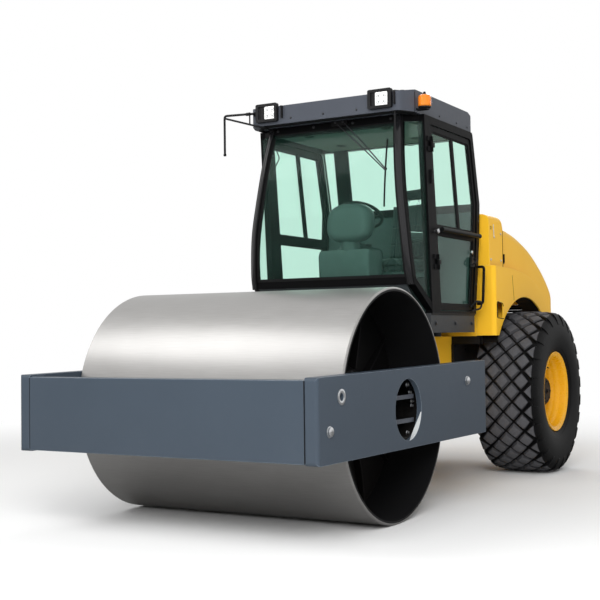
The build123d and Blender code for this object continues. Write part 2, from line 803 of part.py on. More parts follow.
def cab_mounts():
    """Four rubber-mounted feet that carry the cab on the longitudinals."""
    made = []
    for side in SIDES:
        for y in (b_line(1440, 0) + 420, c_line(FLOOR_Z0) - 80):
            x = side * (MEMBER_X - MEMBER_T / 2)
            made.append(rod((x, y, MEMBER_Z1), (x, y, FLOOR_Z1 - 42), 42.0))
    return made


def front_panel():
    """Black footwell panel from the windscreen sill back to the floor."""
    y0 = A_ROWS[0][2] + 12
    y1 = BASE_FRONT_Y - SEAT
    rows = plain([(y0, 1661), (y1, FLOOR_Z1 - 60), (y1, FLOOR_Z1 - 20), (y0 + 20, 1661)])
    half = A_ROWS[0][1] - CAB_WALL - 4
    return along_x(rows, -half, half)


def rear_panel():
    """Black wall below the rear window."""
    y = C_REAR[1][0] - 56
    rows = [
        (c_line(1442) - 56, FLOOR_Z1),
        (y, 2095),
        (C_REAR[2][0] - 58, REAR_SILL_Z0),
        (C_REAR[2][0] - 18, REAR_SILL_Z0),
        (y + 40, 2095),
        (c_line(1442) - 16, FLOOR_Z1),
    ]
    half = CAB_X - CAB_WALL - SEAT
    return along_x(plain(rows), -half, half)


def windscreen():
    """Curved front pane between the A-pillars."""
    setback = 26.0
    gap = A_WIDE + 1.0
    low = 1720.0 + SEAT
    high = HEAD_Z0 - SEAT
    heights = [low] + [z for z, _, _ in A_ROWS if low + 10 < z < high - 10] + [high]
    front = [(a_outer(z)[1] + setback, z) for z in heights]
    back = [(y + GLASS_T, z) for y, z in reversed(front)]
    pane = along_x(plain(front + back), -CAB_X, CAB_X)
    rows = [(a_outer(z)[0] - gap, z) for z in [1600.0] + heights + [HEAD_Z1]]
    rows = rows + [(-x, z) for x, z in reversed(rows)]
    return pane & along_y(plain(rows), -900, 0)


def quarter_glass():
    """Left corner pane between the A- and B-pillars, its foot on the sloping sill."""
    sections = []
    out = Vector(GLASS_T, 0, 0)
    gap = 0.6
    foot_a = slope_top(a_outer(1720.0)[1] + A_DEEP) + 8.0
    foot_b = slope_top(b_line(1530.0, 0)) + 8.0
    top = HEAD_Z0 - gap
    heights = [z for z, _, _ in A_ROWS if foot_a + 10 < z < top - 10] + [top]
    rows = [(foot_a, foot_b)] + [(z, z) for z in heights]
    for z_a, z_b in rows:
        x, y = a_outer(z_a)
        a = Vector(x - 24, y + A_DEEP + gap, z_a)
        b = Vector(CAB_X - 26, b_line(z_b, 0) - gap, z_b)
        sections.append(make_face(Polyline(a, b, b + out, a + out, close=True)))
    return loft(sections, ruled=True)


def door(gap):
    """Door frame: divided upper pane, waist rail and lower pane, gap clear of its opening."""
    x1 = CAB_X - DOOR_IN
    x0 = x1 - DOOR_T
    shell = along_x(door_rows(gap, DOOR_Z0, DOOR_Z1), x0, x1)
    for z0, z1 in PANE_Z:
        shell = shell - along_x(pane_rows(z0, z1, PANE_EDGE), x0 - 1, x1 + 1)
    return shell + door_post(x0 + 4, x1 - 4, 0)


def door_post(x0, x1, spare):
    """Leaning post that divides the upper pane."""
    low = 345 - spare, 377 + spare
    high = 205 - spare, 237 + spare
    z0 = DOOR_BAR_Z + 20
    z1 = DOOR_Z1 - 20
    return along_x(plain([(low[0], z0), (low[1], z0), (high[1], z1), (high[0], z1)]), x0, x1)


def pane_rows(z0, z1, edge):
    """Opening in the door between two heights, edge wide inside the door's outline."""
    inner = C_WIDE + GAP + edge
    zs = [z0] + [z for z in (2095.0, 2400.0) if z0 < z < z1] + [z1]
    radii = [26] + [0] * (len(zs) - 2) + [26]
    rows = [(c_line(z) - inner, z, r) for z, r in zip(zs, radii)]
    rows.append((b_line(z1, 1) + GAP + edge, z1, 26))
    rows.append((b_line(z0, 1) + GAP + edge, z0, 26))
    return rows


def door_glass():
    """Panes set in the door's openings."""
    x1 = CAB_X - DOOR_IN - 12
    x0 = x1 - GLASS_T
    post = door_post(x0 - 1, x1 + 1, SEAT)
    made = []
    for z0, z1 in PANE_Z:
        pane = along_x(pane_rows(z0 + SEAT, z1 - SEAT, PANE_EDGE + SEAT), x0, x1)
        made += (pane - post).solids()
    return made


def door_bar():
    """Round bar across the door's waist, on two stand-offs."""
    x = CAB_X + 40.0
    y0 = b_line(DOOR_BAR_Z, 1) + 34
    y1 = c_line(DOOR_BAR_Z) - C_WIDE - 30
    bar = rod((x, y0, DOOR_BAR_Z), (x, y1, DOOR_BAR_Z), 19.0)
    for y in (y0 + 40, y1 - 40):
        bar = bar + rod((CAB_X - DOOR_IN, y, DOOR_BAR_Z), (x, y, DOOR_BAR_Z), 13.0)
    return bar


HINGE_X = CAB_X + 13.0
HINGE_R = 12.0
KNUCKLE = 40.0
HINGE_Z = (1790.0, 2720.0)


def hinge_point(z):
    """Point of the slanted door hinge axis at a height."""
    return Vector(HINGE_X, b_line(z, 1) - 14.0, z)


def hinge_piece(z, reach):
    """Knuckle on the hinge axis and its leaf, which runs reach away from the axis."""
    low = hinge_point(z)
    high = hinge_point(z + KNUCKLE)
    y = (low.Y + high.Y) / 2
    y0, y1 = sorted((y, y + reach))
    leaf = block(CAB_X + (0 if reach < 0 else 1), HINGE_X - 3, y0, y1, z + 2, z + KNUCKLE - 2)
    return rod(low, high, HINGE_R) + leaf


def pillar_hinges():
    """Outer knuckles of both hinges, on the B-pillar."""
    return [hinge_piece(z + dz, -62.0) for z in HINGE_Z for dz in (0, 2 * KNUCKLE + 1)]


def door_hinges():
    """Middle knuckles of both hinges, with a foot that steps down to the door."""
    made = []
    for z in HINGE_Z:
        y = hinge_point(z).Y
        z0 = z + KNUCKLE + 0.5
        foot = block(CAB_X - DOOR_IN, CAB_X + 4, y + 38, y + 70, z0 + 2, z0 + KNUCKLE - 2)
        made.append(hinge_piece(z0, 70.0) + foot)
    return made


def rear_window():
    """Pane between the rear rails."""
    y0 = c_line(REAR_SILL_Z1) - 44
    y1 = c_line(HEAD_Z0) - 44
    z0 = REAR_SILL_Z1 + SEAT
    z1 = HEAD_Z0 - SEAT
    rows = plain([(y0, z0), (y0 + GLASS_T, z0), (y1 + GLASS_T, z1), (y1, z1)])
    half = CAB_X - CAB_WALL - SEAT
    return along_x(rows, -half, half)


ROOF_Y0 = -626.0
ROOF_Y1 = 742.0
ROOF_X = 737.0
ROOF_Z1 = 3152.0
ROOF_TOP = 3180.0


def roof():
    """Roof cap: flat fascia all round, crowned top."""
    rows = [
        (-ROOF_X + 70, ROOF_Y0, 60),
        (ROOF_X - 70, ROOF_Y0, 60),
        (ROOF_X, ROOF_Y0 + 150, 60),
        (ROOF_X, ROOF_Y1, 70),
        (-ROOF_X, ROOF_Y1, 70),
        (-ROOF_X, ROOF_Y0 + 150, 60),
    ]
    cap = along_z(rows, HEAD_Z1 + SEAT, ROOF_TOP)
    crown = [
        (ROOF_Y0 - 10, HEAD_Z1 - 10, 0),
        (ROOF_Y1 + 10, HEAD_Z1 - 10, 0),
        (ROOF_Y1 + 10, ROOF_Z1 - 20, 0),
        (ROOF_Y1 - 120, ROOF_TOP, 60),
        (ROOF_Y0 + 150, ROOF_TOP, 60),
        (ROOF_Y0 - 10, ROOF_Z1, 0),
    ]
    return cap & along_x(crown, -ROOF_X - 1, ROOF_X + 1)


LAMP_X = (413.0, 616.0)


def roof_lamps():
    """Two square work lamps in pods at the roof's front corners."""
    made = []
    for side in SIDES:
        x0, x1 = sorted((side * LAMP_X[0], side * LAMP_X[1]))
        pod = block(x0, x1, ROOF_Y0 - 34, ROOF_Y0 - SEAT, 3028, 3178)
        pod = fillet(pod.edges().filter_by(Axis.Y), 14)
        mouth = block(x0 + 26, x1 - 26, ROOF_Y0 - 35, ROOF_Y0 - 24, 3050, 3156)
        made.append(pod - mouth)
    return made


def lifting_studs():
    """Four lifting studs on the roof."""
    made = []
    for x in (-560.0, 560.0):
        for y in (-330.0, 480.0):
            shank = rod((x, y, ROOF_TOP), (x, y, ROOF_TOP + 34), 11)
            made.append(shank + rod((x, y, ROOF_TOP + 22), (x, y, ROOF_TOP + 40), 22))
    return made


def beacon():
    """Amber beacon on an arm from the roof's left side."""
    y = -435.0
    x = ROOF_X + 62.0
    arm = block(ROOF_X + SEAT, x + 30, y - 25, y + 25, 3020, 3034)
    base = rod((x, y, 3034), (x, y, 3056), 44)
    dome = rod((x, y, 3056), (x, y, 3130), 38)
    dome = fillet(dome.edges().sort_by(Axis.Z)[-1], 22)
    return arm + base, Pos(0, 0, SEAT) * dome


MIRROR_TIP = (-926.0, ROOF_Y0 - 28.0)


def mirror_arm():
    """Two bent tubes from the roof and the header, on the cab's right front corner."""
    x, y = MIRROR_TIP
    x0 = -ROOF_X + 97.0
    upper_points = [(x0, ROOF_Y0 - SEAT, 3109), (x0, y, 3109), (x, y, 3120), (x, y, 2781)]
    upper = tube_path(upper_points, [22, 24], 9)
    y_head = A_ROWS[-1][2]
    lower_x = 62.0 - A_ROWS[-1][1]
    lower = tube_path([(lower_x, y_head - SEAT, 2985), (lower_x, y, 2985), (x, y, 2995)], [24], 9)
    return upper + lower


WHEEL_AT = (70.0, -120.0, 2270.0)
WHEEL_LEAN = (0.0, 0.5, 0.866)


def steering_column():
    """Column, instrument pod and its plinth ahead of the wheel."""
    x, y, _ = WHEEL_AT
    foot = FLOOR_Z1 + SEAT
    rows = [
        (-255, foot, 0),
        (-255, 1495, 0),
        (-375, 1615, 0),
        (-375, 1960, 30),
        (y - 20, 1960, 30),
        (y - 20, foot, 0),
    ]
    plinth = along_x(rows, x - 190, x + 190)
    pod_rows = [
        (y - 245, 2060, 70),
        (y - 230, 2290, 60),
        (y - 135, 2305, 36),
        (y - 85, 2235, 30),
        (y - 75, 2060, 40),
    ]
    pod = along_x(pod_rows, x - 215, x + 95)
    stem = rod((x, y - 160, 1930), (x, y - 160, 2100), 60)
    lean = Vector(*WHEEL_LEAN)
    head = Vector(*WHEEL_AT)
    return plinth + pod + stem + rod(head - lean * 200.0, head - lean * (46.0 + SEAT), 30.0)


def steering_wheel():
    """Rim, spokes and hub on the column's end."""
    plane = Plane(origin=WHEEL_AT, x_dir=(1, 0, 0), z_dir=WHEEL_LEAN)
    ring = plane * Torus(178, 15)
    drop = Vector(*WHEEL_LEAN) * 46.0
    centre = Vector(*WHEEL_AT)
    boss = rod(centre - drop, centre - drop * 0.2, 40)
    spokes = []
    for turn in (8.0, 172.0, 270.0):
        spokes.append(plane * Rot(0, 0, turn) * Pos(100, 0, -8) * Box(150, 26, 7))
    return join([ring, boss] + spokes)


def seat_frame(shape):
    """Turn a piece modelled about the swivel axis into its place."""
    return Pos(SEAT_AT[0], SEAT_AT[1], 0) * Rot(0, 0, SEAT_TURN) * shape


def seat_base():
    """Suspension base, pan and back frame."""
    foot = block(-190, 190, -190, 190, FLOOR_Z1 + SEAT, 1520)
    column = rod((0, 0, 1515), (0, 0, 1760), 130)
    pan = block(-235, 235, -235, 215, 1750, SEAT_PAN)
    back = along_x([(190, 1770, 0), (252, 1770, 0), (330, 2330, 12), (296, 2335, 12)], -120, 120)
    return seat_frame(foot + column + pan + back)


def seat_cushion():
    pad = block(-245, 245, -262, 180, SEAT_PAN + SEAT, SEAT_TOP)
    return seat_frame(fillet(pad.edges().filter_by(Axis.Z), 60))


def seat_back():
    """Backrest with its headrest on two posts."""
    top = SEAT_TOP + SEAT
    rows = [(110, top, 30), (188, top, 20), (270, 2380, 30), (180, 2400, 40)]
    rest = along_x([(205, 2425, 30), (282, 2425, 30), (296, 2520, 30), (222, 2530, 30)], -130, 130)
    posts = [rod((x, 228, 2370), (x, 248, 2440), 7) for x in (-65, 65)]
    return seat_frame(join([along_x(rows, -225, 225), rest] + posts))


def armrest():
    """Right-hand lever console beside the seat."""
    rows = [
        (-330, 1830, 30),
        (120, 1830, 20),
        (120, 2010, 60),
        (-180, 2060, 60),
        (-330, 2010, 60),
    ]
    body = along_x(rows, -370, -262)
    lever = rod((-316, -250, 2030), (-316, -275, 2180), 12)
    lever = lever + rod((-316, -268, 2130), (-316, -280, 2200), 24)
    arm = block(-300, -225, -60, 60, 1762, 1788) + block(-300, -264, -60, 60, 1762, 1835)
    return seat_frame(body + lever + arm)


def left_armrest():
    pad = block(262, 330, -150, 200, 2060, 2110)
    post = block(280, 300, 140, 190, 1762, 2062) + block(225, 300, 140, 190, 1762, 1788)
    return seat_frame(fillet(pad.edges().filter_by(Axis.Z), 25) + post)


# ---------------------------------------------------------------- fenders, bulkhead and hood
# Ledge line of the fender, (y, z, corner radius), from the bulkhead to the tail.
LEDGE_LEAD = 60.0
LEDGE_RISE = 8.0
LEDGE = [
    (BAY_Y, LEDGE_Z, 30),
    (1300.0, 1853.0, 400),
    (1600.0, 1826.0, 300),
    (1850.0, 1780.0, 300),
    (2090.0, 1680.0, 200),
    (2300.0, 1510.0, 250),
    (arch_y(HOOD_Z0, TYRE_CLEAR) + 80.0, HOOD_Z0, 0),
]
HAND_HOLE = [(906, 1408, 30), (1066, 1402, 30), (1060, 1536, 30), (906, 1552, 30)]  # (y, z, radius)


def fender():
    """Left fender: ledge, side skin, front face and arch liner, open to the engine bay."""
    def profile(inset):
        rows = [(BAY_Y - LEDGE_LEAD, FENDER_Z0 + inset, 0)]
        rows.append((BAY_Y - LEDGE_LEAD, LEDGE_Z + LEDGE_RISE - inset, 0))
        rows += [(y, z - inset, r) for y, z, r in LEDGE[1:-1]]
        end_y, end_z, _ = LEDGE[-1]
        rows.append((end_y - inset, end_z - (0 if inset == 0 else 1), 0))
        rows.append((end_y - 260, end_z - (0 if inset == 0 else 1), 0))
        rows.append((AXLE_Y, FENDER_Z0 + inset, 0))
        return rows

    front_r = 40.0
    plan = [
        (FENDER_IN, BAY_Y, 0),
        (FENDER_X, BAY_Y, front_r),
        (FENDER_X, REAR_Y, 0),
        (FENDER_IN, REAR_Y, 0),
    ]
    inner_plan = [
        (FENDER_IN - 2, BAY_Y + SKIN_T, 0),
        (FENDER_X - SKIN_T, BAY_Y + SKIN_T, front_r - SKIN_T),
        (FENDER_X - SKIN_T, REAR_Y, 0),
        (FENDER_IN - 2, REAR_Y, 0),
    ]
    arch = TYRE_R + TYRE_CLEAR
    outer = along_x(profile(0), FENDER_IN, FENDER_X) & along_z(plan, 0, 2500)
    outer = outer - disc_x(0, FENDER_X + 1, AXLE_Y, AXLE_Z, arch)
    inner = along_x(profile(SKIN_T), FENDER_IN - 2, FENDER_X) & along_z(inner_plan, 0, 2500)
    inner = inner - disc_x(0, FENDER_X + 1, AXLE_Y, AXLE_Z, arch + SKIN_T)
    return outer - inner - along_x(HAND_HOLE, FENDER_X - SKIN_T - 1, FENDER_X + 1)


COLLAR_Y1 = BAY_Y + BAY_T
COLLAR_X = HOOD_X + 20.0


def ledge_top(y):
    """Height of the ledge ahead of its first bend."""
    rise = LEDGE[1][1] - (LEDGE_Z + LEDGE_RISE)
    return LEDGE_Z + LEDGE_RISE + rise * (y - BAY_Y + LEDGE_LEAD) / (LEDGE[1][0] - BAY_Y + LEDGE_LEAD)


def rear_bulkhead():
    """Deep arched collar behind the cab: front skin and a rim that reaches back to the hood."""
    def body(inset, drop, y0):
        ring = [
            (-COLLAR_X + inset, LEDGE_Z - 60, 0),
            (-COLLAR_X + inset, BAY_TOP - inset, 70 - inset),
            (COLLAR_X - inset, BAY_TOP - inset, 70 - inset),
            (COLLAR_X - inset, LEDGE_Z - 60, 0),
        ]
        side = [
            (y0, ledge_top(y0) + 1 - drop, 0),
            (y0, BAY_TOP, 0),
            (COLLAR_Y1 - 52, BAY_TOP, 0),
            (COLLAR_Y1, BAY_TOP - 110, 0),
            (COLLAR_Y1, ledge_top(COLLAR_Y1) + 1 - drop, 0),
        ]
        return along_y(ring, y0, COLLAR_Y1) & along_x(side, -COLLAR_X, COLLAR_X)

    arch = body(0, 0, BAY_Y)
    inner = body(SKIN_T, 2, BAY_Y + SKIN_T)
    hollow = inner + Pos(0, SKIN_T, 0) * inner
    lower_half = FENDER_IN - SEAT
    lower = block(-lower_half, lower_half, BAY_Y, BAY_Y + SKIN_T, MEMBER_Z1 + SEAT, LEDGE_Z + 12)
    return (arch - hollow) + lower


# Hood: side silhouette of the crown, (y, z), from the collar to the tail.
HOOD_Y0 = COLLAR_Y1 + GAP
CROWN = [
    (HOOD_Y0 - 80, 2252.0),
    (1333.0, 2234.0),
    (1572.0, 2203.0),
    (1838.0, 2142.0),
    (2050.0, 2075.0),
    (2250.0, 1985.0),
    (2440.0, 1880.0),
    (2590.0, 1775.0),
    (2710.0, 1655.0),
    (2790.0, 1520.0),
    (REAR_Y, 1360.0),
]
SHOULDER_R = 95.0


def hood_body(inset, reach):
    """Solid of the hood's outside, or of its inside when inset."""
    y0 = HOOD_Y0 - reach
    z0 = HOOD_Z0 - reach
    run = REAR_Y - HOOD_Y0
    points = [(y - inset * (y - HOOD_Y0) / run, z - inset) for y, z in CROWN]
    line = Spline(*points, tangents=[(1, -0.05), (0, -1)])
    edge = line + Polyline(points[-1], (points[-1][0], z0), (points[0][0], z0), points[0])
    side = extrude(Plane.YZ.offset(-1000) * make_face(edge), amount=2000)
    half = HOOD_X - inset
    tail = 2700.0 - inset * 0.6
    plan = [
        (-half, y0, 0),
        (-half, tail, 260 - inset),
        (-half + 260, tail + 250, 0),
        (half - 260, tail + 250, 0),
        (half, tail, 260 - inset),
        (half, y0, 0),
    ]
    whole = side & along_z(plan, z0, 3000)
    shoulder = []
    for edge in whole.edges():
        middle = edge.center()
        along = edge.bounding_box().size.Y > 1 or middle.Y > REAR_Y - 20
        if along and middle.Z > z0 + 1 and abs(middle.X) > 400 and middle.Y > y0 + 1:
            shoulder.append(edge)
    return fillet(shoulder, SHOULDER_R - inset)


def hood():
    """Engine hood, hinged at the tail: thin shell open at the front and below."""
    shell = hood_body(0, 0) - hood_body(SKIN_T, 60)
    below = [(HOOD_Y0 - 70, 0, 0)] + [(HOOD_Y0 - 70, LEDGE_Z + GAP, 0)]
    below += [(y, z + GAP, r) for y, z, r in LEDGE[1:-1]]
    below += [(LEDGE[-1][0] + GAP, HOOD_Z0, 0), (LEDGE[-1][0] + GAP, 0, 0)]
    shell = shell - along_x(below, -1100, 1100)
    shell = shell - along_y(GRILLE, REAR_Y - 200, REAR_Y + 20)
    for side in SIDES:
        x0, x1 = sorted((side * (HOOD_EAR_X - 8), side * (HOOD_EAR_X + 8)))
        rows = [
            (HOOD_HINGE_Y, HOOD_HINGE_Z - 22, 20),
            (HOOD_HINGE_Y - 22, HOOD_HINGE_Z, 20),
            (HOOD_HINGE_Y, HOOD_HINGE_Z + 22, 20),
            (REAR_Y - 4, HOOD_HINGE_Z + 40, 0),
            (REAR_Y - 4, HOOD_HINGE_Z - 16, 0),
        ]
        shell = shell + along_x(rows, x0, x1)
    return shell - disc_x(-500, 500, HOOD_HINGE_Y, HOOD_HINGE_Z, HOOD_PIN_R + RUN)


HOOD_PIN_R = 11.0
GRILLE = [(-480, 1320, 40), (480, 1320, 40), (480, 1560, 40), (-480, 1560, 40)]


def hood_grille():
    """Louvred air outlet set in the hood's tail."""
    rows = [(x * 0.999, z + (SEAT if z < 1400 else -SEAT), r) for x, z, r in GRILLE]
    y0 = REAR_Y - 60
    frame = along_y(rows, y0, REAR_Y - 14)
    rows_in = [(x * 0.95, z + (22 if z < 1400 else -22), 24) for x, z, r in GRILLE]
    frame = frame - along_y(rows_in, y0 - 1, REAR_Y)
    slats = []
    count = 7
    for i in range(count):
        z = 1342 + (196) * (i + 0.5) / count
        blade = [(y0 + 4, z - 12), (y0 + 9, z - 12), (y0 + 40, z + 12), (y0 + 35, z + 12)]
        slats.append(along_x(plain(blade), -462, 462))
    return join([frame] + slats)


def hood_pins():
    """Hinge pins of the hood, in the tail brackets."""
    made = []
    for side in SIDES:
        x0, x1 = sorted((side * (HOOD_EAR_X - 34), side * (HOOD_EAR_X + 34)))
        made.append(disc_x(x0, x1, HOOD_HINGE_Y, HOOD_HINGE_Z, HOOD_PIN_R))
    return made


def grab_handle():
    """Bent rail on the rear edge of the cab's left side."""
    x = CAB_X + 52.0
    y = c_line(1800) - 26.0
    points = [(CAB_X + SEAT, y, 1530), (x, y, 1530), (x, y + 40, 1850), (CAB_X + SEAT, y + 40, 1850)]
    return tube_path(points, 24, 12)


def save_all():
    os.makedirs("parts", exist_ok=True)
    save("drum_shell", drum_shell())
    head = bulkhead()
    save("drum_bulkheads", head, flip(head))
    support = drum_support()
    save("drum_supports", support, flip(support))
    save("front_crossbeam", front_crossbeam())
    plate = side_plate()
    save("side_plate_left", plate)
    save("side_plate_right", flip(plate))
    save("rear_crossbeam", rear_crossbeam())
    save("drum_scrapers", *scrapers())
    save("hitch_yoke", hitch_yoke())
    for side, word in ((1, "left"), (-1, "right")):
        save(f"steering_barrel_{word}", cylinder_barrel(side))
        save(f"steering_rod_{word}", cylinder_rod(side))
    save("frame_pins", steering_pin(), *cylinder_pins(), *hood_pins())
    save("chassis", chassis())
    save("rear_axle", rear_axle())
    save("engine_block", join([engine()] + engine_feet()))
    for word, turn in (("left", lambda s: s), ("right", flip)):
        save(f"tyre_{word}", turn(tyre()))
        save(f"rim_{word}", turn(rim()))
        save(f"wheel_hub_{word}", turn(hub()))
    save("cab_frame", join([cab_frame()] + pillar_hinges()))
    save("cab_base", join([cab_base()] + cab_mounts()))
    save("cab_panels", front_panel(), rear_panel())
    save("windscreen", windscreen())
    pane = quarter_glass()
    panes = door_glass()
    save("cab_windows", pane, flip(pane), rear_window(), *[flip(each) for each in panes])
    save("cab_door", door(GAP))
    save("door_glass", *panes)
    save("door_fittings", door_bar(), *door_hinges())
    save("side_window_frame", flip(door(SEAT)))
    save("grab_handle", grab_handle())
    save("steering_column", steering_column())
    save("steering_wheel", steering_wheel())
    save("seat_base", join([seat_base(), armrest(), left_armrest()]))
    save("seat_cushion", seat_cushion())
    save("seat_back", seat_back())
    mudguard = fender()
    save("fender_left", mudguard)
    save("fender_right", flip(mudguard))
    save("rear_bulkhead", rear_bulkhead())
    save("hood", hood())
    save("hood_grille", hood_grille())
    save("mirror_arm", mirror_arm())
    save("roof", roof())
    save("roof_lamps", *roof_lamps())
    arm, dome = beacon()
    save("roof_fittings", arm, *lifting_studs())
    save("beacon_lens", dome)


save_all()
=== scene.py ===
"""Road roller: one smooth drum in a box frame, a glazed cab, a tilting hood and two wheels on block tread."""

from __future__ import annotations

import logging
import math
from collections.abc import Callable, Sequence
from dataclasses import dataclass, field
from enum import Enum
from functools import partial
from typing import Any

import bmesh
import bpy
from mathutils import Matrix, Vector

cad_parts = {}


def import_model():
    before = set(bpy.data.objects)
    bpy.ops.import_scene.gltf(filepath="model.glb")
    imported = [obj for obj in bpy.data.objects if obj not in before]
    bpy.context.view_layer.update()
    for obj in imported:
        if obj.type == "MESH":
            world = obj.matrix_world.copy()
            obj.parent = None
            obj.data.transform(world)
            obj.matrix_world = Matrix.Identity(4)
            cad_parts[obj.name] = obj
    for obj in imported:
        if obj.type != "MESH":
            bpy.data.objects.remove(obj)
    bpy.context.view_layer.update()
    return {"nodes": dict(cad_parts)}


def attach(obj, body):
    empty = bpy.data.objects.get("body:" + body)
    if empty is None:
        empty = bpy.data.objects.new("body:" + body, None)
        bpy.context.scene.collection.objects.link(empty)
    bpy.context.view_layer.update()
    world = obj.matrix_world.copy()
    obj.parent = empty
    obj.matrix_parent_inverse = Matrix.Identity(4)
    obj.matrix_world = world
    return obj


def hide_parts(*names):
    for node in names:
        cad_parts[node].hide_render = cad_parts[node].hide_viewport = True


log = logging.getLogger("road_roller")

Flat = tuple[float, float]
Material = bpy.types.Material
Piece = bpy.types.Object
Point = Sequence[float]

DRUM_AXLE = Vector((0.0, -1.556, 0.8))
WHEEL_AXLE = Vector((0.0, 1.65, 0.735))
UP = Vector((0.0, 0.0, 1.0))
LEFTWARD, FORWARD, BACKWARD = (1, 0, 0), (0, -1, 0), (0, 1, 0)


# --- Nodes and colours ---

# Settings that several nodes share.
COLOURS, NUMBERS = {"data_type": "RGBA"}, {"data_type": "FLOAT"}
PRODUCT, HIGHER = {"operation": "MULTIPLY"}, {"operation": "MAXIMUM"}
# A wave texture of scale 1 repeats about 3.2 times a metre.
WAVES_PER_METRE = 3.2


def srgb(code: str) -> tuple[float, float, float, float]:
    """Turns an sRGB hex colour to linear RGBA.

    Args:
        code: six hex digits after a hash.
    Returns:
        Red, green, blue and an alpha of 1.
    """
    parts = [int(code[i : i + 2], 16) / 255 for i in (1, 3, 5)]
    red, green, blue = (c / 12.92 if c <= 0.04045 else ((c + 0.055) / 1.055) ** 2.4 for c in parts)
    return (red, green, blue, 1.0)


def add_node(
    tree: bpy.types.NodeTree, kind: str, inputs: dict | None = None, settings: dict | None = None
) -> bpy.types.Node:
    """Adds one node to a tree, with its settings and links.

    Args:
        tree: the tree that takes the node.
        kind: the node's class name after ShaderNode.
        inputs: for each input, by name or number, a value, the socket that feeds it, or a node whose first
            output in use feeds it.
        settings: values for the node's own attributes.
    Returns:
        The new node.
    """
    node = tree.nodes.new("ShaderNode" + kind)
    for name, value in (settings or {}).items():
        setattr(node, name, value)
    for name, value in (inputs or {}).items():
        if isinstance(value, bpy.types.Node):
            value = next(socket for socket in value.outputs if socket.enabled)
        if isinstance(value, bpy.types.NodeSocket):
            tree.links.new(value, node.inputs[name])
        else:
            node.inputs[name].default_value = value
    return node


class Slot(Enum):
    """The record's material slots."""

    FRAME_PAINT = "frame_paint"
    DRUM_STEEL = "drum_steel"
    BLACK_PAINT = "black_paint"
    YELLOW_PAINT = "yellow_paint"
    CAB_PAINT = "cab_paint"
    ROOF_PAINT = "roof_paint"
    TINTED_GLASS = "tinted_glass"
    BLACK_PLASTIC = "black_plastic"
    SEAT_CLOTH = "seat_cloth"
    TYRE_RUBBER = "tyre_rubber"
    BRIGHT_STEEL = "bright_steel"
    CAST_IRON = "cast_iron"
    AMBER = "amber"


# --- Finishes ---


@dataclass(frozen=True)
class Finish:
    """A finish of the machine, named for its real material, in one of the record's slots."""

    name: str
    slot: Slot

    def blank(self) -> tuple[Material, Callable[..., bpy.types.Node], bpy.types.NodeSocket]:
        """Makes an empty material.

        Returns:
            The material, the function that adds a node to it, and a socket that gives each point's place on
            the machine.
        """
        material = bpy.data.materials.new(self.name)
        material["slot"] = self.slot.value
        material.use_nodes = True
        material.node_tree.nodes.clear()
        add = partial(add_node, material.node_tree)
        return material, add, add("TexCoord").outputs["Object"]

    def make(self) -> Material:
        """Builds the finish's material."""
        raise NotImplementedError


@dataclass(frozen=True)
class Enamel(Finish):
    """Two-pack enamel sprayed over primed steel, with orange peel, a painted highlight along each arris and dust low
    down.
    """

    colour: str
    shade: str
    arris_highlight: str
    roughness: float = 0.36
    specular: float = 0.5
    peel_mm: float = 5.0
    rounding_mm: float = 4.0
    dust: float = 0.18
    dust_colour: str = "#8E857A"
    dust_top: float = 1.3
    dust_foot: float = 0.3

    def make(self) -> Material:
        """Builds the enamel's material."""
        material, add, place = self.blank()
        # Spray coats differ a little in tone over about a forearm's length.
        drift = add("TexNoise", {"Vector": place, "Scale": 2.6, "Detail": 5.0, "Roughness": 0.6})
        tone = add("Mix", {0: drift, 6: srgb(self.shade), 7: srgb(self.colour)}, COLOURS)
        # Painted highlight: a paler line about as wide as the rounding runs along each arris, where rounded edges catch
        # the light.
        rounding = add("Bevel", {"Radius": self.rounding_mm / 1000}, {"samples": 4})
        flat = add("NewGeometry").outputs["Normal"]
        turn = add("VectorMath", {0: rounding, 1: flat}, {"operation": "DOT_PRODUCT"})
        edge = add("MapRange", {"Value": turn, "From Min": 0.995, "From Max": 0.8, "To Max": 0.85})
        highlighted = add("Mix", {0: edge, 6: tone, 7: srgb(self.arris_highlight)}, COLOURS)
        # Dust settles low down, in blotches a few centimetres across.
        height = add("SeparateXYZ", {"Vector": place}).outputs["Z"]
        fall = {"Value": height, "From Min": self.dust_top, "From Max": self.dust_foot, "To Max": self.dust}
        low = add("MapRange", fall)
        blotch = add("TexNoise", {"Vector": place, "Scale": 22.0, "Detail": 8.0, "Roughness": 0.7})
        film = add("Math", {0: low, 1: blotch}, PRODUCT)
        dusty = add("Mix", {0: film, 6: highlighted, 7: srgb(self.dust_colour)}, COLOURS)
        # Orange peel is about 5 mm from crest to crest.
        peel = add("TexNoise", {"Vector": place, "Scale": 1000 / self.peel_mm, "Detail": 2.0})
        relief = {"Strength": 0.12, "Distance": 0.0006, "Height": peel, "Normal": rounding}
        bump = add("Bump", relief)
        worn = {"Value": blotch, "To Min": self.roughness - 0.05, "To Max": self.roughness + 0.09}
        gloss = add("MapRange", worn)
        paint = {"Base Color": dusty, "Roughness": gloss, "IOR": 1.5, "Specular IOR Level": self.specular}
        shader = add("BsdfPrincipled", paint | {"Normal": bump})
        add("OutputMaterial", {"Surface": shader})
        return material


